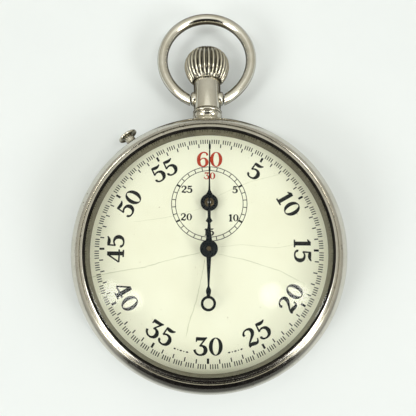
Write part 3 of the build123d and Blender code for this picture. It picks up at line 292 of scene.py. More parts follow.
class Shape:
    """Collects closed solids, in mm, for one piece."""

    def __init__(self):
        self.bm = bmesh.new()

    def lathe(self, outline, matrix=Matrix.Identity(4), segments=FINE, wave=None):
        """Turns a closed (radius, height) outline about local z; wave(angle, radius, height) scales r."""
        rows = []
        for r, h in outline:
            if r < 1e-6:
                rows.append([self.bm.verts.new(matrix @ Vector((0, 0, h)) * MM)])
                continue
            row = []
            for k in range(segments):
                a = math.tau * k / segments
                q = r * (wave(a, r, h) if wave else 1.0)
                row.append(self.bm.verts.new(matrix @ Vector((q * math.cos(a), q * math.sin(a), h)) * MM))
            rows.append(row)
        for i, row in enumerate(rows):
            after = rows[(i + 1) % len(rows)]
            if len(row) == 1 and len(after) == 1:
                continue
            for k in range(segments):
                k2 = (k + 1) % segments
                if len(row) == 1:
                    self.bm.faces.new((row[0], after[k], after[k2]))
                elif len(after) == 1:
                    self.bm.faces.new((row[k], after[0], row[k2]))
                else:
                    self.bm.faces.new((row[k], after[k], after[k2], row[k2]))
        return self

    def prism(self, loops, bottom, top, place=(0, 0), turn=0.0):
        """Extrudes an outline, with holes after the first loop."""
        c, s = math.cos(turn), math.sin(turn)
        flat = [[(place[0] + x * c - y * s, place[1] + x * s + y * c) for x, y in loop] for loop in loops]
        caps = tessellate_polygon([[Vector((x, y, 0)) for x, y in loop] for loop in flat])
        points = [p for loop in flat for p in loop]
        low = [self.bm.verts.new(Vector((x, y, bottom)) * MM) for x, y in points]
        high = [self.bm.verts.new(Vector((x, y, top)) * MM) for x, y in points]
        for tri in caps:
            if len(set(tri)) == 3:
                self.bm.faces.new([low[i] for i in tri])
                self.bm.faces.new([high[i] for i in reversed(tri)])
        first = 0
        for loop in flat:
            n = len(loop)
            for i in range(n):
                a, b = first + i, first + (i + 1) % n
                self.bm.faces.new((low[a], low[b], high[b], high[a]))
            first += n
        return self

    def tube(self, rows):
        """Skins rings of points and caps both ends."""
        made = [[self.bm.verts.new(Vector(p) * MM) for p in row] for row in rows]
        n = len(made[0])
        for a, b in zip(made, made[1:]):
            for k in range(n):
                self.bm.faces.new((a[k], a[(k + 1) % n], b[(k + 1) % n], b[k]))
        self.bm.faces.new(made[0])
        self.bm.faces.new(list(reversed(made[-1])))
        return self

    def done(self, name, material, body, slot, stands_for=(), angle=SHARP):
        return add(name, tidy_mesh(self.bm, name, angle), material, body, stands_for)


def circle(radius, count, centre=(0, 0)):
    x, y = centre
    steps = [math.tau * k / count for k in range(count)]
    return [(x + radius * math.cos(a), y + radius * math.sin(a)) for a in steps]


def cut(obj, cutter):
    """Subtracts the cutter mesh from obj for good."""
    tool = bpy.data.objects.new("cutter", cutter)
    bpy.context.scene.collection.objects.link(tool)
    modifier = obj.modifiers.new("cut", "BOOLEAN")
    modifier.operation = "DIFFERENCE"
    modifier.solver = "EXACT"
    modifier.object = tool
    graph = bpy.context.evaluated_depsgraph_get()
    mesh = bpy.data.meshes.new_from_object(obj.evaluated_get(graph))
    obj.modifiers.clear()
    obj.data = mesh
    mesh.shade_smooth()
    mesh.set_sharp_from_angle(angle=math.radians(SHARP))
    bpy.data.objects.remove(tool)


# local z turned to +Y (pendant, crown) and to the button's axis
ALONG_Y = Matrix.Translation((0, 0, STEM_Z)) @ Matrix.Rotation(-math.pi / 2, 4, "X")
ALONG_BUTTON = Matrix.Rotation(BUTTON_ANGLE, 4, "Z") @ ALONG_Y

# ---------------------------------------------------------------- case
belly = arc3((24.27, 2.95), (25.34, 5.6), (24.85, 8.14), 36)
band = Shape().lathe(
    [(24.2, 2.9), *belly, (24.77, 8.2), (23.05, 8.2), (23.05, 8.9), (22.3, 8.9), (22.3, 8.2), (22.1, 8.2),
     (22.1, 7.0), (21.0, 7.0), (21.0, 2.9)]
).done("case_band_fine", NICKEL_CASE, "case", "nickel", ["case_band"])
hole = Shape().lathe([(0, 20), (1.72, 20), (1.72, 25.1), (2.0, 25.6), (2.0, 27), (0, 27)], ALONG_BUTTON, 96)
cut(band, tidy_mesh(hole.bm, "hole", SHARP))
hole = Shape().lathe([(0, 20), (1.0, 20), (1.0, 27), (0, 27)], ALONG_Y, 64)
cut(band, tidy_mesh(hole.bm, "hole", SHARP))

swell = arc3((24.8, 8.32), (24.13, 10.6), (22.76, 11.76), 36)
groove = [(22.72, 11.72), (22.56, 11.57), (22.47, 11.6)]
lip = arc3((22.44, 11.74), (22.14, 11.9), (21.8, 11.9), 12)
bezel = Shape().lathe(
    [(21.62, 8.05), (22.05, 8.05), (22.05, 8.25), (22.2, 8.25), (22.2, 9.0), (23.1, 9.0), (23.1, 8.25),
     (24.72, 8.25), *swell, *groove, *lip, (21.8, 11.8), (21.8, 11.75), (22.13, 11.75), (22.13, 10.97),
     (21.75, 10.97), (21.66, 9.0)]
).done("bezel_fine", NICKEL_CASE, "case", "nickel", ["bezel"])
bezel.data.materials.append(NICKEL_REHAUT)
bezel.data.materials.append(PAINTED_SHADE)
# painted shade: faces at the lip's inner edge and the glass seat under it take the near-black paint, and the
# inner wall below takes the darker nickel
for face in bezel.data.polygons:
    middle = face.center / MM
    r = math.hypot(middle.x, middle.y)
    if r < 22.0 and middle.z > 10.9:
        face.material_index = 2
    elif r < 21.83:
        face.material_index = 1

dome = arc3((17.0, 0.0), (21.3, 0.72), (24.3, 2.3), 30)
cover = Shape().lathe(
    [(0, 0), *dome, (24.34, 2.4), (24.34, 2.8), (24.28, 2.88), (20.95, 2.88), (20.95, 3.5), (20.3, 3.5),
     (20.3, 1.1), (17.0, 0.65), (0, 0.65)]
)
# the lip by which the back is prised open
LUG_R, LUG_HALF, LUG_ROUND = 24.2, 0.95, 0.85
lug = math.radians(-65)
tab = []
for end in (0, 1):
    for k in range(17):
        a = -math.pi / 2 + math.pi * k / 16 + math.pi * end
        middle = LUG_HALF if end == 0 else -LUG_HALF
        tab.append((middle + LUG_ROUND * math.cos(a), LUG_ROUND * math.sin(a)))
cover.prism([tab], 2.35, 2.84, (LUG_R * math.cos(lug), LUG_R * math.sin(lug)), math.pi / 2 + lug)
cover.done("back_cover_fine", NICKEL, "case", "nickel", ["back_cover"])


def dome_points(edge, low, crown, count=40):
    """The crystal's curve, from the crown down to the edge."""
    rise = crown - low
    r = (edge * edge + rise * rise) / (2 * rise)
    full = math.asin(edge / r)
    steps = [full * k / count for k in range(count + 1)]
    return [(r * math.sin(a), crown - r + r * math.cos(a)) for a in steps]


Shape().lathe(
    [*dome_points(21.75, 11.7, 14.3), (22.04, 11.7), (22.1, 11.64), (22.1, 11.0),
     *reversed(dome_points(21.2, 11.0, 13.4))]
).done("crystal_fine", GLASS, "case", "crystal_glass", ["crystal"])

# pendant: tube with its bead, two bow bosses and the leaf that spreads over the band
collar = arc3((2.2, 25.35), (2.64, 25.95), (2.9, 26.56), 12) + [(2.82, 26.66), (2.6, 26.7)]
ring = arc3((2.5, 26.78), (2.7, 26.88), (2.5, 26.98), 6)
bead = arc3((2.5, 27.06), (2.86, 27.3), (2.5, 27.54), 10)
tube = Shape().lathe(
    [(1.5, 23.2), (2.2, 23.2), *collar, (2.44, 26.71), (2.44, 26.76), *ring, (2.44, 27.02), *bead,
     (2.44, 27.6), (2.44, 27.68), (2.64, 27.86), (2.66, 28.0), (2.66, 34.12), (2.6, 34.25), (2.48, 34.3),
     (1.5, 34.3)],
    ALONG_Y, 128,
)
for side in (-1, 1):
    turn = Matrix.Translation((0, BOW_PIVOT_Y, STEM_Z)) @ Matrix.Rotation(side * math.pi / 2, 4, "Y")
    tube.lathe(
        [(0, 0.5), (1.42, 0.5), *arc3((1.42, 2.55), (1.2, 3.1), (0.78, 3.3), 10), (0.64, 3.28), (0.64, 2.45),
         (0, 2.45)],
        turn, 64,
    )
tube.done("pendant_tube", NICKEL, "case", "nickel", ["pendant"])


def band_radius(z):
    """Outside radius of the case at height z, over both band and bezel."""
    line = belly + swell
    for (r0, z0), (r1, z1) in zip(line, line[1:]):
        if z0 <= z <= z1 and z1 > z0:
            return r0 + (r1 - r0) * (z - z0) / (z1 - z0)
    return line[0][0]


LEAF_REACH, LEAF_HALF_HEIGHT, LEAF_RISE, LEAF_DEPTH = 6.6, 1.95, 0.32, 0.25
leaf_rows = []
for i in range(65):
    u = -1 + 2 * i / 64
    half = LEAF_HALF_HEIGHT * max(0.02, (1 - abs(u) ** 1.7)) ** 0.8
    outer_row, inner_row = [], []
    for k in range(17):
        v = -1 + 2 * k / 16
        z = STEM_Z + half * v
        x = LEAF_REACH * u
        lift = LEAF_RISE * max(0.0, 1 - abs(v) ** 2.5) ** 0.6 * max(0.0, 1 - abs(u) ** 2) ** 0.7
        r = band_radius(z)
        a = x / r
        outer_row.append(((r + lift) * math.sin(a), (r + lift) * math.cos(a), z))
        inner_row.append(((r - LEAF_DEPTH) * math.sin(a), (r - LEAF_DEPTH) * math.cos(a), z))
    leaf_rows.append(outer_row + inner_row[::-1])
Shape().tube(leaf_rows).done("pendant_leaf", NICKEL_FOOT, "case", "nickel", angle=50)

# side button and its bush
bush = Shape().lathe(
    [(0.55, 21.9), (1.7, 21.9), (1.7, 25.72), (1.62, 25.82), (1.02, 25.82), (1.02, 22.4), (0.55, 22.4)],
    ALONG_BUTTON, 96,
)
# the bush wears the near-black paint: painted shade for the dark mouth of the button's hole
bush.done("button_bush_fine", PAINTED_SHADE, "case", "nickel", ["button_bush"])


def stem_ribs(angle, radius, height):
    """Twelve fine grooves along the button's stem."""
    if 24.5 < height < 27.1 and radius > 0.8:
        return 1 - 0.05 * (0.5 - 0.5 * math.cos(12 * angle)) ** 2
    return 1.0


Shape().lathe(
    [(0, 20.85), (0.5, 20.85), (0.5, 24.4), (0.96, 24.4), (0.96, 24.6), (0.96, 27.16), (1.05, 27.24),
     (1.7, 27.34), *arc3((1.84, 27.4), (1.93, 27.58), (1.84, 27.78), 8),
     *arc3((1.74, 27.84), (1.0, 27.96), (0.4, 28.0), 6), (0, 28.0)],
    ALONG_BUTTON, 144, stem_ribs,
).done("side_button_fine", NICKEL_CROWN, "side_button", "nickel", ["side_button"])


# ---------------------------------------------------------------- crown and bow
FLUTES = 30


def flutes(angle, radius, height):
    """Deep grooves round the crown that run out towards its middle and its foot."""
    if height < 33.79 or radius < 0.9 or (radius < 2.75 and height < 36):
        return 1.0
    deep = 0.44 * min(1.0, max(0.0, (radius - 1.1) / 1.4)) if height > CROWN_Y else 0.5
    if height < 34.4:
        deep *= 0.7
    valley = (0.5 - 0.5 * math.cos(FLUTES * angle)) ** 1.1
    return 1 - deep * valley / radius


crown_side = arc3((3.2, 33.85), (4.16, 35.35), (4.5, CROWN_Y), 30)
crown_side += arc3((4.5, CROWN_Y), (3.7, 39.3), (1.3, 40.7), 34)[1:]
crown_cap = arc3((1.25, 40.72), (0.9, 40.84), (0.4, 40.9), 6)
Shape().lathe(
    [(2.72, 33.8), (3.1, 33.8), *crown_side, *crown_cap, (0, 40.92), (0, 39.05), (0.6, 39.05), (0.6, 35.7),
     (2.72, 35.7)],
    ALONG_Y, FLUTES * 14, flutes,
).done("crown_fine", NICKEL_CROWN, "crown", "nickel", ["crown"], angle=60)

BOW_R, BOW_WIRE_R, BOW_Y, BOW_END_X = 8.93, 1.02, 38.6, 3.42
bow_rows = []
end_angle = -math.acos(3.75 / BOW_R)
for i in range(161):
    a = end_angle + (math.pi - 2 * end_angle) * i / 160
    row = []
    # the ends bend down a little towards the pivots
    droop = 0.35 * max(0.0, 1 - min(i, 160 - i) / 20) ** 2
    for k in range(40):
        b = math.tau * k / 40
        r = BOW_R + BOW_WIRE_R * math.cos(b)
        row.append((r * math.cos(a), BOW_Y - droop + r * math.sin(a), STEM_Z + BOW_WIRE_R * math.sin(b)))
    if i in (0, 160):
        # cut square where the wire enters its knuckle
        flat = BOW_END_X if i == 0 else -BOW_END_X
        for k, (x, y, z) in enumerate(row):
            row[k] = (flat, y - (flat - x) / math.tan(a), z)
    bow_rows.append(row)
bow = Shape().tube(bow_rows)
for side in (-1, 1):
    turn = Matrix.Translation((side * 3.4, BOW_PIVOT_Y, STEM_Z)) @ Matrix.Rotation(side * math.pi / 2, 4, "Y")
    bow.lathe([(0, -0.88), (0.52, -0.88), (0.6, -0.8), (0.6, 0.02), (0.84, 0.02), (0.88, 0.08), (0.88, 0.8),
               (0.7, 1.0), (0, 1.0)], turn, 48)
bow.done("bow_fine", NICKEL, "bow", "nickel", ["bow"], angle=40)


# ---------------------------------------------------------------- dial print
def smooth(points, steps=8):
    """A curve through (x, y, width) points."""
    made = []
    last = len(points) - 1
    for i in range(last):
        a, b, c, d = points[max(i - 1, 0)], points[i], points[i + 1], points[min(i + 2, last)]
        for s in range(steps):
            t = s / steps
            made.append(tuple(
                0.5 * (2 * q + (r - p) * t + (2 * p - 5 * q + 4 * r - w) * t * t
                       + (3 * q - p - 3 * r + w) * t ** 3)
                for p, q, r, w in zip(a, b, c, d)
            ))
    made.append(tuple(points[-1]))
    return made


STROKES = {
    "0": [],
    "1": [
        [(0.28, 0.03, 0.19), (0.28, 0.5, 0.19), (0.28, 0.985, 0.19)],
        [(0.03, 0.80, 0.02), (0.10, 0.83, 0.05), (0.20, 0.90, 0.10), (0.28, 0.965, 0.06)],
        [(0.05, 0.025, 0.05), (0.28, 0.03, 0.06), (0.51, 0.025, 0.05)],
    ],
    "2": [
        [(0.13, 0.70, 0.10), (0.10, 0.80, 0.09), (0.20, 0.93, 0.055), (0.38, 0.97, 0.06),
         (0.56, 0.90, 0.13), (0.62, 0.74, 0.185), (0.54, 0.56, 0.14), (0.36, 0.39, 0.08),
         (0.19, 0.24, 0.055), (0.09, 0.09, 0.05)],
        [(0.07, 0.03, 0.05), (0.20, 0.115, 0.13), (0.34, 0.105, 0.17), (0.50, 0.06, 0.14),
         (0.62, 0.075, 0.09), (0.69, 0.18, 0.045), (0.70, 0.27, 0.03)],
    ],
    "3": [
        [(0.15, 0.745, 0.03), (0.165, 0.84, 0.045), (0.17, 0.99, 0.05)],
        [(0.15, 0.925, 0.15), (0.35, 0.915, 0.15), (0.55, 0.92, 0.13), (0.68, 0.955, 0.07),
         (0.77, 0.99, 0.015)],
        [(0.70, 0.96, 0.055), (0.52, 0.73, 0.05), (0.345, 0.50, 0.05)],
        [(0.36, 0.525, 0.04), (0.50, 0.53, 0.08), (0.635, 0.44, 0.15), (0.685, 0.29, 0.195),
         (0.63, 0.14, 0.15), (0.50, 0.05, 0.085), (0.37, 0.03, 0.06), (0.22, 0.07, 0.065),
         (0.10, 0.19, 0.085), (0.055, 0.33, 0.105)],
    ],
    "4": [
        [(0.54, 0.03, 0.19), (0.54, 0.5, 0.19), (0.54, 0.985, 0.19)],
        [(0.50, 0.97, 0.07), (0.33, 0.72, 0.05), (0.17, 0.48, 0.05), (0.04, 0.285, 0.05)],
        [(0.02, 0.275, 0.05), (0.40, 0.27, 0.055), (0.78, 0.275, 0.05)],
        [(0.33, 0.025, 0.05), (0.54, 0.03, 0.06), (0.75, 0.025, 0.05)],
    ],
    "5": [
        [(0.165, 0.98, 0.045), (0.15, 0.72, 0.05), (0.13, 0.50, 0.05)],
        [(0.14, 0.965, 0.05), (0.26, 0.915, 0.14), (0.42, 0.895, 0.15), (0.56, 0.92, 0.09),
         (0.68, 0.99, 0.015)],
        [(0.13, 0.50, 0.03), (0.24, 0.585, 0.055), (0.40, 0.605, 0.08), (0.57, 0.52, 0.145),
         (0.635, 0.33, 0.195), (0.57, 0.14, 0.14), (0.43, 0.045, 0.075), (0.28, 0.03, 0.055),
         (0.15, 0.07, 0.065), (0.075, 0.17, 0.10), (0.09, 0.24, 0.09)],
    ],
    "6": [
        [(0.66, 0.76, 0.10), (0.64, 0.87, 0.085), (0.53, 0.955, 0.055), (0.40, 0.965, 0.055),
         (0.25, 0.88, 0.10), (0.135, 0.69, 0.175), (0.105, 0.45, 0.195), (0.15, 0.20, 0.165),
         (0.27, 0.055, 0.08), (0.40, 0.03, 0.055), (0.54, 0.08, 0.09), (0.635, 0.22, 0.175),
         (0.63, 0.38, 0.175), (0.54, 0.53, 0.09), (0.42, 0.575, 0.05), (0.29, 0.53, 0.04),
         (0.20, 0.42, 0.035)],
    ],
}
WIDTHS = {"0": 0.79, "1": 0.55, "2": 0.76, "3": 0.785, "4": 0.80, "5": 0.73, "6": 0.76}
PRINT_BASE, PRINT_TOP = DIAL_Z - 0.02, DIAL_Z + 0.012
LAYER = 0.0006  # height between strokes that cross


def stroke_outline(stroke, bold):
    """Left and right edges of a curved stroke; bold is added to its width."""
    points = smooth(stroke)
    left, right = [], []
    for i, (x, y, w) in enumerate(points):
        a, b = points[max(i - 1, 0)], points[min(i + 1, len(points) - 1)]
        dx, dy = b[0] - a[0], b[1] - a[1]
        d = math.hypot(dx, dy) or 1.0
        w = w + bold
        left.append((x - dy / d * w / 2, y + dx / d * w / 2))
        right.append((x + dy / d * w / 2, y - dx / d * w / 2))
    return left, right


def numeral(shape, text, centre, height, turn, bold, gap=0.085):
    """Sets the figures of text, centred, as thin solids on the dial."""
    full = sum(WIDTHS[c] for c in text) + gap * (len(text) - 1)
    pen = -full / 2
    c, s = math.cos(turn), math.sin(turn)

    def put(x, y):
        x, y = (pen + x) * height, (y - 0.5) * height
        return (centre[0] + x * c - y * s, centre[1] + x * s + y * c)

    step = 0.0
    for figure in text:
        if figure == "0":
            wide = 0.395
            inner_x, inner_y = 0.195 - bold / 2, 0.462 - bold / 2
            ring_out = [put(wide + wide * x, 0.5 + 0.5 * y) for x, y in circle(1.0, 64)]
            ring_in = [put(wide + inner_x * x, 0.5 + inner_y * y) for x, y in circle(1.0, 64)]
            shape.prism([ring_out, ring_in], PRINT_BASE, PRINT_TOP)
        for stroke in STROKES[figure]:
            left, right = stroke_outline(stroke, bold)
            step += LAYER
            ribbon(shape, [put(*p) for p in left], [put(*p) for p in right], PRINT_TOP + step)
        pen += WIDTHS[figure] + gap


def ribbon(shape, left, right, top):
    """A thin solid strip between two lines of points."""
    rows = []
    for (ax, ay), (bx, by) in zip(left, right):
        rows.append([(ax, ay, PRINT_BASE), (bx, by, PRINT_BASE), (bx, by, top), (ax, ay, top)])
    shape.tube(rows)


def bar(shape, r0, r1, width, angle, centre=(0, 0)):
    """A radial bar; angle is clockwise from twelve."""
    half = width / 2
    corners = [(r0, -half), (r1, -half), (r1, half), (r0, half)]
    shape.prism([corners], PRINT_BASE, PRINT_TOP, centre, math.pi / 2 - angle)


def turned(x, y, centre=(0, 0)):
    """A point of the dial, given from a centre as if twelve were straight up."""
    c, s = math.cos(DIAL_TURN), math.sin(DIAL_TURN)
    return (centre[0] + x * c + y * s, centre[1] - x * s + y * c)


track = Shape()
for second in range(60):
    turn = math.tau * second / 60 + DIAL_TURN
    for fifth in range(1, 5):
        bar(track, 20.0, 20.8, 0.17, turn + math.tau * fifth / 300)
    if second % 5:
        bar(track, 19.25, 19.98, 0.20, turn)
    else:
        bar(track, 19.02, 19.92, 0.39, turn)
track.done("dial_seconds_track", INK, "case", "enamel")

figures, red = Shape(), Shape()
for mark in range(5, 65, 5):
    turn = math.tau * mark / 60 + DIAL_TURN
    upside = mark in (20, 25, 30, 35, 40)
    radius = 17.0 if mark != 60 else 16.95
    place = (radius * math.sin(turn), radius * math.cos(turn))
    rotation = -turn + (math.pi if upside else 0.0)
    if mark == 60:
        numeral(red, "60", place, 2.9, rotation, 0.03)
    else:
        numeral(figures, str(mark), place, 3.08, rotation, 0.042)

railway = Shape()
for outer, inner in ((7.03, 6.90), (6.31, 6.18)):
    railway.prism([circle(outer, 160, MINUTE), circle(inner, 160, MINUTE)], PRINT_BASE, PRINT_TOP)
for minute in range(30):
    wide = 0.36 if minute % 5 == 0 else 0.15
    bar(railway, 6.25, 6.95, wide, math.tau * minute / 30 + DIAL_TURN, MINUTE)
railway.done("dial_minute_track", INK_SMALL, "case", "enamel")

small = Shape()
small_places = [
    ("5", 4.75, 2.65), ("10", 4.5, -2.65), ("15", 0.0, -5.3), ("20", -4.2, -2.55), ("25", -4.2, 2.65)
]
for text, x, y in small_places:
    place = turned(x, y, MINUTE)
    numeral(small, text, place, 1.3, -DIAL_TURN, 0.075, 0.06)
small.done("dial_minute_figures", INK, "case", "enamel")
numeral(red, "30", turned(0.0, 5.25, MINUTE), 1.3, -DIAL_TURN, 0.05, 0.06)
red.done("dial_red_figures", INK_RED, "case", "enamel")

# plain ornaments either side of thirty
for side in (-1, 1):
    for k in range(5):
        turn = math.pi + DIAL_TURN + side * math.radians(11.6 + 1.75 * k)
        r = 18.35
        x, y = r * math.sin(turn), r * math.cos(turn)
        long, short = (0.27, 0.16) if k % 2 == 0 else (0.13, 0.13)
        lozenge = [(-long, 0), (0, -short), (long, 0), (0, short)]
        figures.prism([lozenge], PRINT_BASE, PRINT_TOP, (x, y), -turn)
figures.done("dial_figures", INK, "case", "enamel")


# hairline cracks and specks in the enamel
random.seed(11)
cracks = Shape()


def crack(points, width):
    """A wandering hairline through the points."""
    points = [turned(*point) for point in points]
    line = []
    for (x0, y0), (x1, y1) in zip(points, points[1:]):
        parts = max(2, int(math.hypot(x1 - x0, y1 - y0) / 0.6))
        for k in range(parts):
            t = k / parts
            wobble = random.uniform(-0.05, 0.05)
            line.append((x0 + (x1 - x0) * t + wobble, y0 + (y1 - y0) * t - wobble))
    line.append(points[-1])
    left, right = [], []
    for i, (x, y) in enumerate(line):
        a, b = line[max(i - 1, 0)], line[min(i + 1, len(line) - 1)]
        dx, dy = b[0] - a[0], b[1] - a[1]
        d = math.hypot(dx, dy) or 1.0
        w = width * random.uniform(0.6, 1.2) * (0.35 if i in (0, len(line) - 1) else 1)
        left.append((x - dy / d * w / 2, y + dx / d * w / 2))
        right.append((x + dy / d * w / 2, y - dx / d * w / 2))
    ribbon(cracks, left, right, DIAL_Z + 0.004)


crack([(-1.4, -0.5), (-6.0, -1.6), (-11.5, -3.2), (-19.0, -4.6), (-21.4, -5.2)], 0.14)
crack([(-0.6, -1.5), (-2.1, -9.0), (-3.3, -12.5), (-4.0, -15.6)], 0.14)
crack([(1.4, -0.7), (7.0, -1.9), (13.0, -3.8), (17.5, -6.2)], 0.12)
crack([(1.5, 0.5), (6.0, 1.0), (12.0, 0.4), (17.5, 1.4)], 0.08)
crack([(1.6, 10.0), (7.0, 12.5), (13.5, 14.3)], 0.08)
crack([(-1.6, 7.6), (-8.0, 5.8), (-14.0, 5.0)], 0.07)
cracks.done("dial_cracks", CRACK, "case", "enamel")

specks = Shape()
for k in range(46):
    a, r = random.uniform(0, math.tau), 20.5 * math.sqrt(random.random())
    size = random.choice((0.03, 0.035, 0.045, 0.06))
    specks.prism([circle(size, 9)], PRINT_BASE, DIAL_Z + 0.003, (r * math.cos(a), r * math.sin(a)))
specks.done("dial_specks", STAIN, "case", "enamel")


# ---------------------------------------------------------------- hands
def blade(half):
    """Mirrors a half outline of (half width, distance) pairs."""
    return half + [(-w, d) for w, d in reversed(half)]


SWEEP_LOW, SWEEP_TOP = 10.0, 10.2
MINUTE_LOW, MINUTE_TOP = 9.05, 9.25
sweep = Shape()
AIM = -DIAL_TURN
sweep.prism([blade([(0.55, 0.6), (0.56, 1.45), (0.47, 2.2), (0.36, 3.1), (0.25, 4.4), (0.17, 7.0),
                    (0.14, 12.0), (0.12, 19.7), (0.05, 20.0)])], SWEEP_LOW, SWEEP_TOP, turn=AIM)
sweep.prism([blade([(0.46, -0.6), (0.40, -2.0), (0.30, -3.8), (0.20, -5.6), (0.16, -6.5), (0.22, -6.75),
                    (0.36, -7.0), (0.47, -7.3), (0.42, -7.7), (0.32, -8.05), (0.26, -8.45)])],
            SWEEP_LOW, SWEEP_TOP, turn=AIM)
sweep.lathe([(0.86, 10.0), (1.33, 10.0), (1.33, 10.14), (1.28, 10.2), (0.94, 10.2), (0.89, 10.14)],
            Matrix.Translation((*turned(0, -9.55), 0)), 96)
sweep.lathe([(0.3, 9.6), (0.7, 9.6), (0.7, 10.0), (1.6, 10.0), (1.6, 10.2), (1.54, 10.27), (1.4, 10.3),
             (0.3, 10.34)], segments=128)
sweep.done("sweep_hand", HAND, "seconds", "hand_steel", ["seconds_hand"], angle=35)
cap = Shape().lathe([(0, 10.28), (0.42, 10.28), (0.42, 10.38), (0.34, 10.44), (0, 10.46)], segments=64)
cap.done("sweep_hand_pin", HUB_BRASS, "seconds", "wheel_brass")

minute = Shape()
minute.prism([blade([(0.45, 1.0), (0.75, 1.3), (0.42, 1.8), (0.2, 2.3), (0.15, 3.4), (0.10, 5.8),
                     (0.04, 6.1)])], MINUTE_LOW, MINUTE_TOP, MINUTE, AIM)
minute.prism([[(0.3, -1.0), (0.26, -2.7), (0.36, -3.0), (0.63, -3.45), (0.4, -3.62), (0.24, -3.8),
               (0.0, -4.9), (-0.24, -3.8), (-0.4, -3.62), (-0.63, -3.45), (-0.36, -3.0), (-0.26, -2.7),
               (-0.3, -1.0)]], MINUTE_LOW, MINUTE_TOP, MINUTE, AIM)
spot = Matrix.Translation((MINUTE[0], MINUTE[1], 0))
minute.lathe([(0.3, 8.6), (0.6, 8.6), (0.6, 9.05), (1.6, 9.05), (1.6, 9.25), (1.54, 9.32), (1.4, 9.35),
              (0.3, 9.38)], spot, 128)
minute.done("minute_hand_fine", HAND, "minute", "hand_steel", ["minute_hand"], angle=35)
collar = Shape().lathe([(0.32, 9.36), (0.85, 9.36), (0.85, 9.43), (0.76, 9.47), (0.42, 9.47),
                        (0.32, 9.42)], spot, 72)
collar.done("minute_hand_collar", HUB_BRASS, "minute", "wheel_brass")

# ---------------------------------------------------------------- carried CAD pieces
LOOKS = {
    "nickel": NICKEL, "crystal_glass": GLASS, "enamel": ENAMEL, "gilt_brass": BRASS, "wheel_brass": WHEEL,
    "ruby": RUBY, "blued_steel": BLUED, "hand_steel": HAND, "steel": STEEL,
}
for name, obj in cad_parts.items():
    if obj.hide_render:
        continue
    look = None
    for key in LOOKS:
        if any(m and key in m.name for m in obj.data.materials):
            look = LOOKS[key]
    if name == "dial":
        look = ENAMEL
    if look is None:
        look = STEEL
    if not obj.data.materials:
        obj.data.materials.append(look)
    for k in range(len(obj.material_slots)):
        obj.material_slots[k].link = "OBJECT"
        obj.material_slots[k].material = look

# ---------------------------------------------------------------- floor, light and camera
def pale_floor():
    """A pale table; in the metal's reflections it carries painted shade, darkest towards six o'clock."""
    mat = bpy.data.materials.new("floor_pale")
    mat.use_nodes = True
    tree = mat.node_tree
    shader = tree.nodes["Principled BSDF"]
    shader.inputs["Roughness"].default_value = 0.6
    place = node(tree, "ShaderNodeTexCoord").outputs["Object"]
    pale = [(0.35, (0.77, 0.81, 0.82)), (0.7, (0.79, 0.83, 0.835))]
    tone = ramp(tree, noise(tree, place, 30, 5.0, 0.6), pale)
    parts = node(tree, "ShaderNodeSeparateXYZ")
    link(tree, place, parts.inputs["Vector"])
    # painted shade, darker towards six o'clock
    shade = node(tree, "ShaderNodeMapRange", interpolation_type="SMOOTHSTEP")
    for key, value in (("From Min", -0.024), ("From Max", -0.052), ("To Min", 0.78), ("To Max", 0.09)):
        shade.inputs[key].default_value = value
    link(tree, parts.outputs["Y"], shade.inputs["Value"])
    dark = node(tree, "ShaderNodeMix", data_type="RGBA", blend_type="MULTIPLY")
    dark.inputs[0].default_value = 1.0
    link(tree, tone, dark.inputs[6])
    link(tree, shade.outputs["Result"], dark.inputs[7])
    # painted shadow: as mirrored, the ground under the bow and by the button is darkened as if in their shade
    side = node(tree, "ShaderNodeMath", operation="ABSOLUTE")
    link(tree, parts.outputs["X"], side.inputs[0])
    near_x = node(tree, "ShaderNodeMapRange", interpolation_type="SMOOTHSTEP")
    near_y = node(tree, "ShaderNodeMapRange", interpolation_type="SMOOTHSTEP")
    strips = [(near_x, side.outputs[0], 0.016, 0.012), (near_y, parts.outputs["Y"], 0.0262, 0.0295)]
    for strip, value, start, end in strips:
        strip.inputs["From Min"].default_value = start
        strip.inputs["From Max"].default_value = end
        link(tree, value, strip.inputs["Value"])
    under_bow = node(tree, "ShaderNodeMath", operation="MULTIPLY")
    link(tree, near_x.outputs["Result"], under_bow.inputs[0])
    link(tree, near_y.outputs["Result"], under_bow.inputs[1])
    away = node(tree, "ShaderNodeVectorMath", operation="DISTANCE")
    link(tree, place, away.inputs[0])
    away.inputs[1].default_value = (-0.0162, 0.0236, 0)
    by_button = node(tree, "ShaderNodeMapRange", interpolation_type="SMOOTHSTEP")
    by_button.inputs["From Min"].default_value, by_button.inputs["From Max"].default_value = 0.006, 0.0035
    link(tree, away.outputs["Value"], by_button.inputs["Value"])
    shaded = node(tree, "ShaderNodeMath", operation="MAXIMUM")
    link(tree, under_bow.outputs[0], shaded.inputs[0])
    link(tree, by_button.outputs["Result"], shaded.inputs[1])
    deep = node(tree, "ShaderNodeMix", data_type="RGBA")
    link(tree, shaded.outputs[0], deep.inputs[0])
    link(tree, dark.outputs[2], deep.inputs[6])
    deep.inputs[7].default_value = (0.07, 0.06, 0.045, 1)
    # only reflections see the painted shade; other rays see the plain table
    path = node(tree, "ShaderNodeLightPath")
    mix = node(tree, "ShaderNodeMix", data_type="RGBA")
    link(tree, path.outputs["Is Glossy Ray"], mix.inputs[0])
    link(tree, tone, mix.inputs[6])
    link(tree, deep.outputs[2], mix.inputs[7])
    link(tree, mix.outputs[2], shader.inputs["Base Color"])
    return mat


floor_mesh = bpy.data.meshes.new("floor")
SPAN = 1.2
FLOOR_Z = -0.0002  # just below the back
corners = [(x * SPAN, y * SPAN, FLOOR_Z) for x, y in ((-1, -1), (1, -1), (1, 1), (-1, 1))]
floor_mesh.from_pydata(corners, [], [(0, 1, 2, 3)])
floor = bpy.data.objects.new("floor", floor_mesh)
bpy.context.scene.collection.objects.link(floor)
floor_mesh.materials.append(pale_floor())


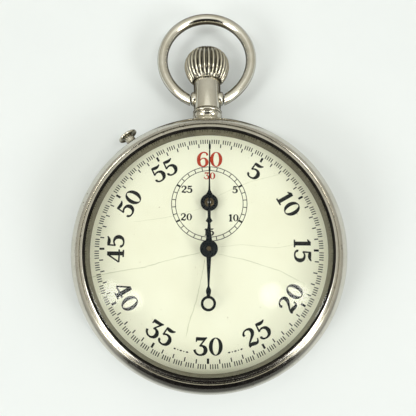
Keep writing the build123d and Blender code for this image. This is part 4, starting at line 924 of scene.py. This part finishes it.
def soft_box(name, azimuth, elevation, size, power):
    """An area light a metre away that shines on the watch but isn't mirrored in it."""
    light = bpy.data.lights.new(name, "AREA")
    light.shape = "RECTANGLE"
    light.size, light.size_y = size
    light.energy = power
    obj = bpy.data.objects.new(name, light)
    a, e = math.radians(azimuth), math.radians(elevation)
    obj.location = Vector((math.cos(a) * math.cos(e), math.sin(a) * math.cos(e), math.sin(e)))
    obj.rotation_mode = "QUATERNION"
    obj.rotation_quaternion = obj.location.to_track_quat("Z", "Y")
    obj.visible_glossy = False
    bpy.context.scene.collection.objects.link(obj)


soft_box("fill_top", 90, 62, (0.8, 0.5), 0.3)
soft_box("fill_left", 190, 40, (0.5, 0.5), 1.1)
soft_box("fill_right", -10, 40, (0.5, 0.5), 1.1)

world = bpy.data.worlds.new("studio")
bpy.context.scene.world = world
world.use_nodes = True
tree = world.node_tree
tree.nodes.clear()
out = node(tree, "ShaderNodeOutputWorld")
back = node(tree, "ShaderNodeBackground")
link(tree, back.outputs["Background"], out.inputs["Surface"])
coords = node(tree, "ShaderNodeTexCoord").outputs["Generated"]
parts = node(tree, "ShaderNodeSeparateXYZ")
link(tree, coords, parts.inputs["Vector"])


def calc(operation, *inputs):
    """One sum, from sockets and numbers."""
    made = node(tree, "ShaderNodeMath", operation=operation)
    for k, value in enumerate(inputs):
        if isinstance(value, (int, float)):
            made.inputs[k].default_value = value
        else:
            link(tree, value, made.inputs[k])
    return made.outputs[0]


def fade(value, start, end):
    """0 before start, 1 after end, smooth between; start may be the larger."""
    made = node(tree, "ShaderNodeMapRange", interpolation_type="SMOOTHSTEP")
    made.inputs["From Min"].default_value = start
    made.inputs["From Max"].default_value = end
    link(tree, value, made.inputs["Value"])
    return made.outputs["Result"]


def blend_in(base, colour, share):
    """base, with share of it replaced by a plain colour."""
    made = node(tree, "ShaderNodeMix", data_type="RGBA")
    link(tree, share, made.inputs[0])
    link(tree, base, made.inputs[6])
    made.inputs[7].default_value = (*colour, 1)
    return made.outputs[2]


def near(azimuth, elevation, inner, outer):
    """A round soft patch of sky: 1 inside the inner angle, 0 outside the outer."""
    a, e = math.radians(azimuth), math.radians(elevation)
    dot = node(tree, "ShaderNodeVectorMath", operation="DOT_PRODUCT")
    link(tree, coords, dot.inputs[0])
    dot.inputs[1].default_value = (math.cos(a) * math.cos(e), math.sin(a) * math.cos(e), math.sin(e))
    return fade(dot.outputs["Value"], math.cos(math.radians(outer)), math.cos(math.radians(inner)))


height = parts.outputs["Z"]
sky = ramp(tree, height, [(0.0, (0.36, 0.35, 0.31)), (0.45, (0.50, 0.49, 0.43)), (0.84, (0.62, 0.61, 0.54)),
                          (0.93, (0.98, 0.98, 0.90)), (1.0, (1.04, 1.05, 0.98))])
# a dark figure stands on the six o'clock side, between two bright windows
flat = calc("SQRT", calc("ADD", calc("MULTIPLY", parts.outputs["X"], parts.outputs["X"]),
                         calc("MULTIPLY", parts.outputs["Y"], parts.outputs["Y"])))
toward = calc("DIVIDE", calc("MULTIPLY", parts.outputs["Y"], -1.0), calc("MAXIMUM", flat, 0.001))
figure = calc("MULTIPLY", fade(toward, 0.69, 0.76), fade(height, 0.975, 0.935))
sky = blend_in(sky, (0.005, 0.004, 0.004), figure)
sky = blend_in(sky, (9.0, 9.0, 8.7), near(-38, 33, 6, 13))
sky = blend_in(sky, (9.0, 9.0, 8.7), near(218, 33, 6, 13))
# the windows' brightest panes, which also show in the glass
for azimuth, elevation, reach in ((-28, 67, 5), (-20, 59, 5), (196, 56, 5), (205, 62, 4.5)):
    sky = blend_in(sky, (16.0, 16.0, 15.5), near(azimuth, elevation, 1, reach))
# looked at directly, the surroundings are a plain pale grey
direct = node(tree, "ShaderNodeLightPath").outputs["Is Camera Ray"]
link(tree, blend_in(sky, (0.72, 0.745, 0.74), direct), back.inputs["Color"])
back.inputs["Strength"].default_value = 1.0

# camera: turned from straight above the dial, in its own axes
TILT, ROLL, PAN = math.radians(9.92), math.radians(0.427), math.radians(0.377)
OFFSET = Vector((0.167, -7.563, 85.59))  # the dial's centre from the camera: right, up, forward
SENSOR, FOCAL = 36, 40.776923
roll = Matrix(((math.cos(ROLL), math.sin(ROLL), 0), (-math.sin(ROLL), math.cos(ROLL), 0), (0, 0, 1)))
tilt = Matrix(((1, 0, 0), (0, math.cos(TILT), math.sin(TILT)), (0, math.sin(TILT), -math.cos(TILT))))
pan = Matrix(((math.cos(PAN), 0, math.sin(PAN)), (0, 1, 0), (-math.sin(PAN), 0, math.cos(PAN))))
view = pan @ tilt @ roll
right, up, forward = view[0], view[1], view[2]
camera_data = bpy.data.cameras.new("camera")
camera_data.sensor_width = SENSOR
camera_data.lens = FOCAL
camera_data.clip_start = 0.005
camera_data.clip_end = 20
camera = bpy.data.objects.new("camera", camera_data)
bpy.context.scene.collection.objects.link(camera)
place = Vector((0, 0, DIAL_Z)) - view.transposed() @ OFFSET
turn = Matrix((right, up, -forward)).transposed()
camera.matrix_world = Matrix.Rotation(-DIAL_TURN, 4, "Z") @ Matrix.Translation(place * MM) @ turn.to_4x4()
bpy.context.scene.camera = camera
bpy.context.scene.view_settings.view_transform = "Standard"
bpy.context.scene.view_settings.exposure = 0.0
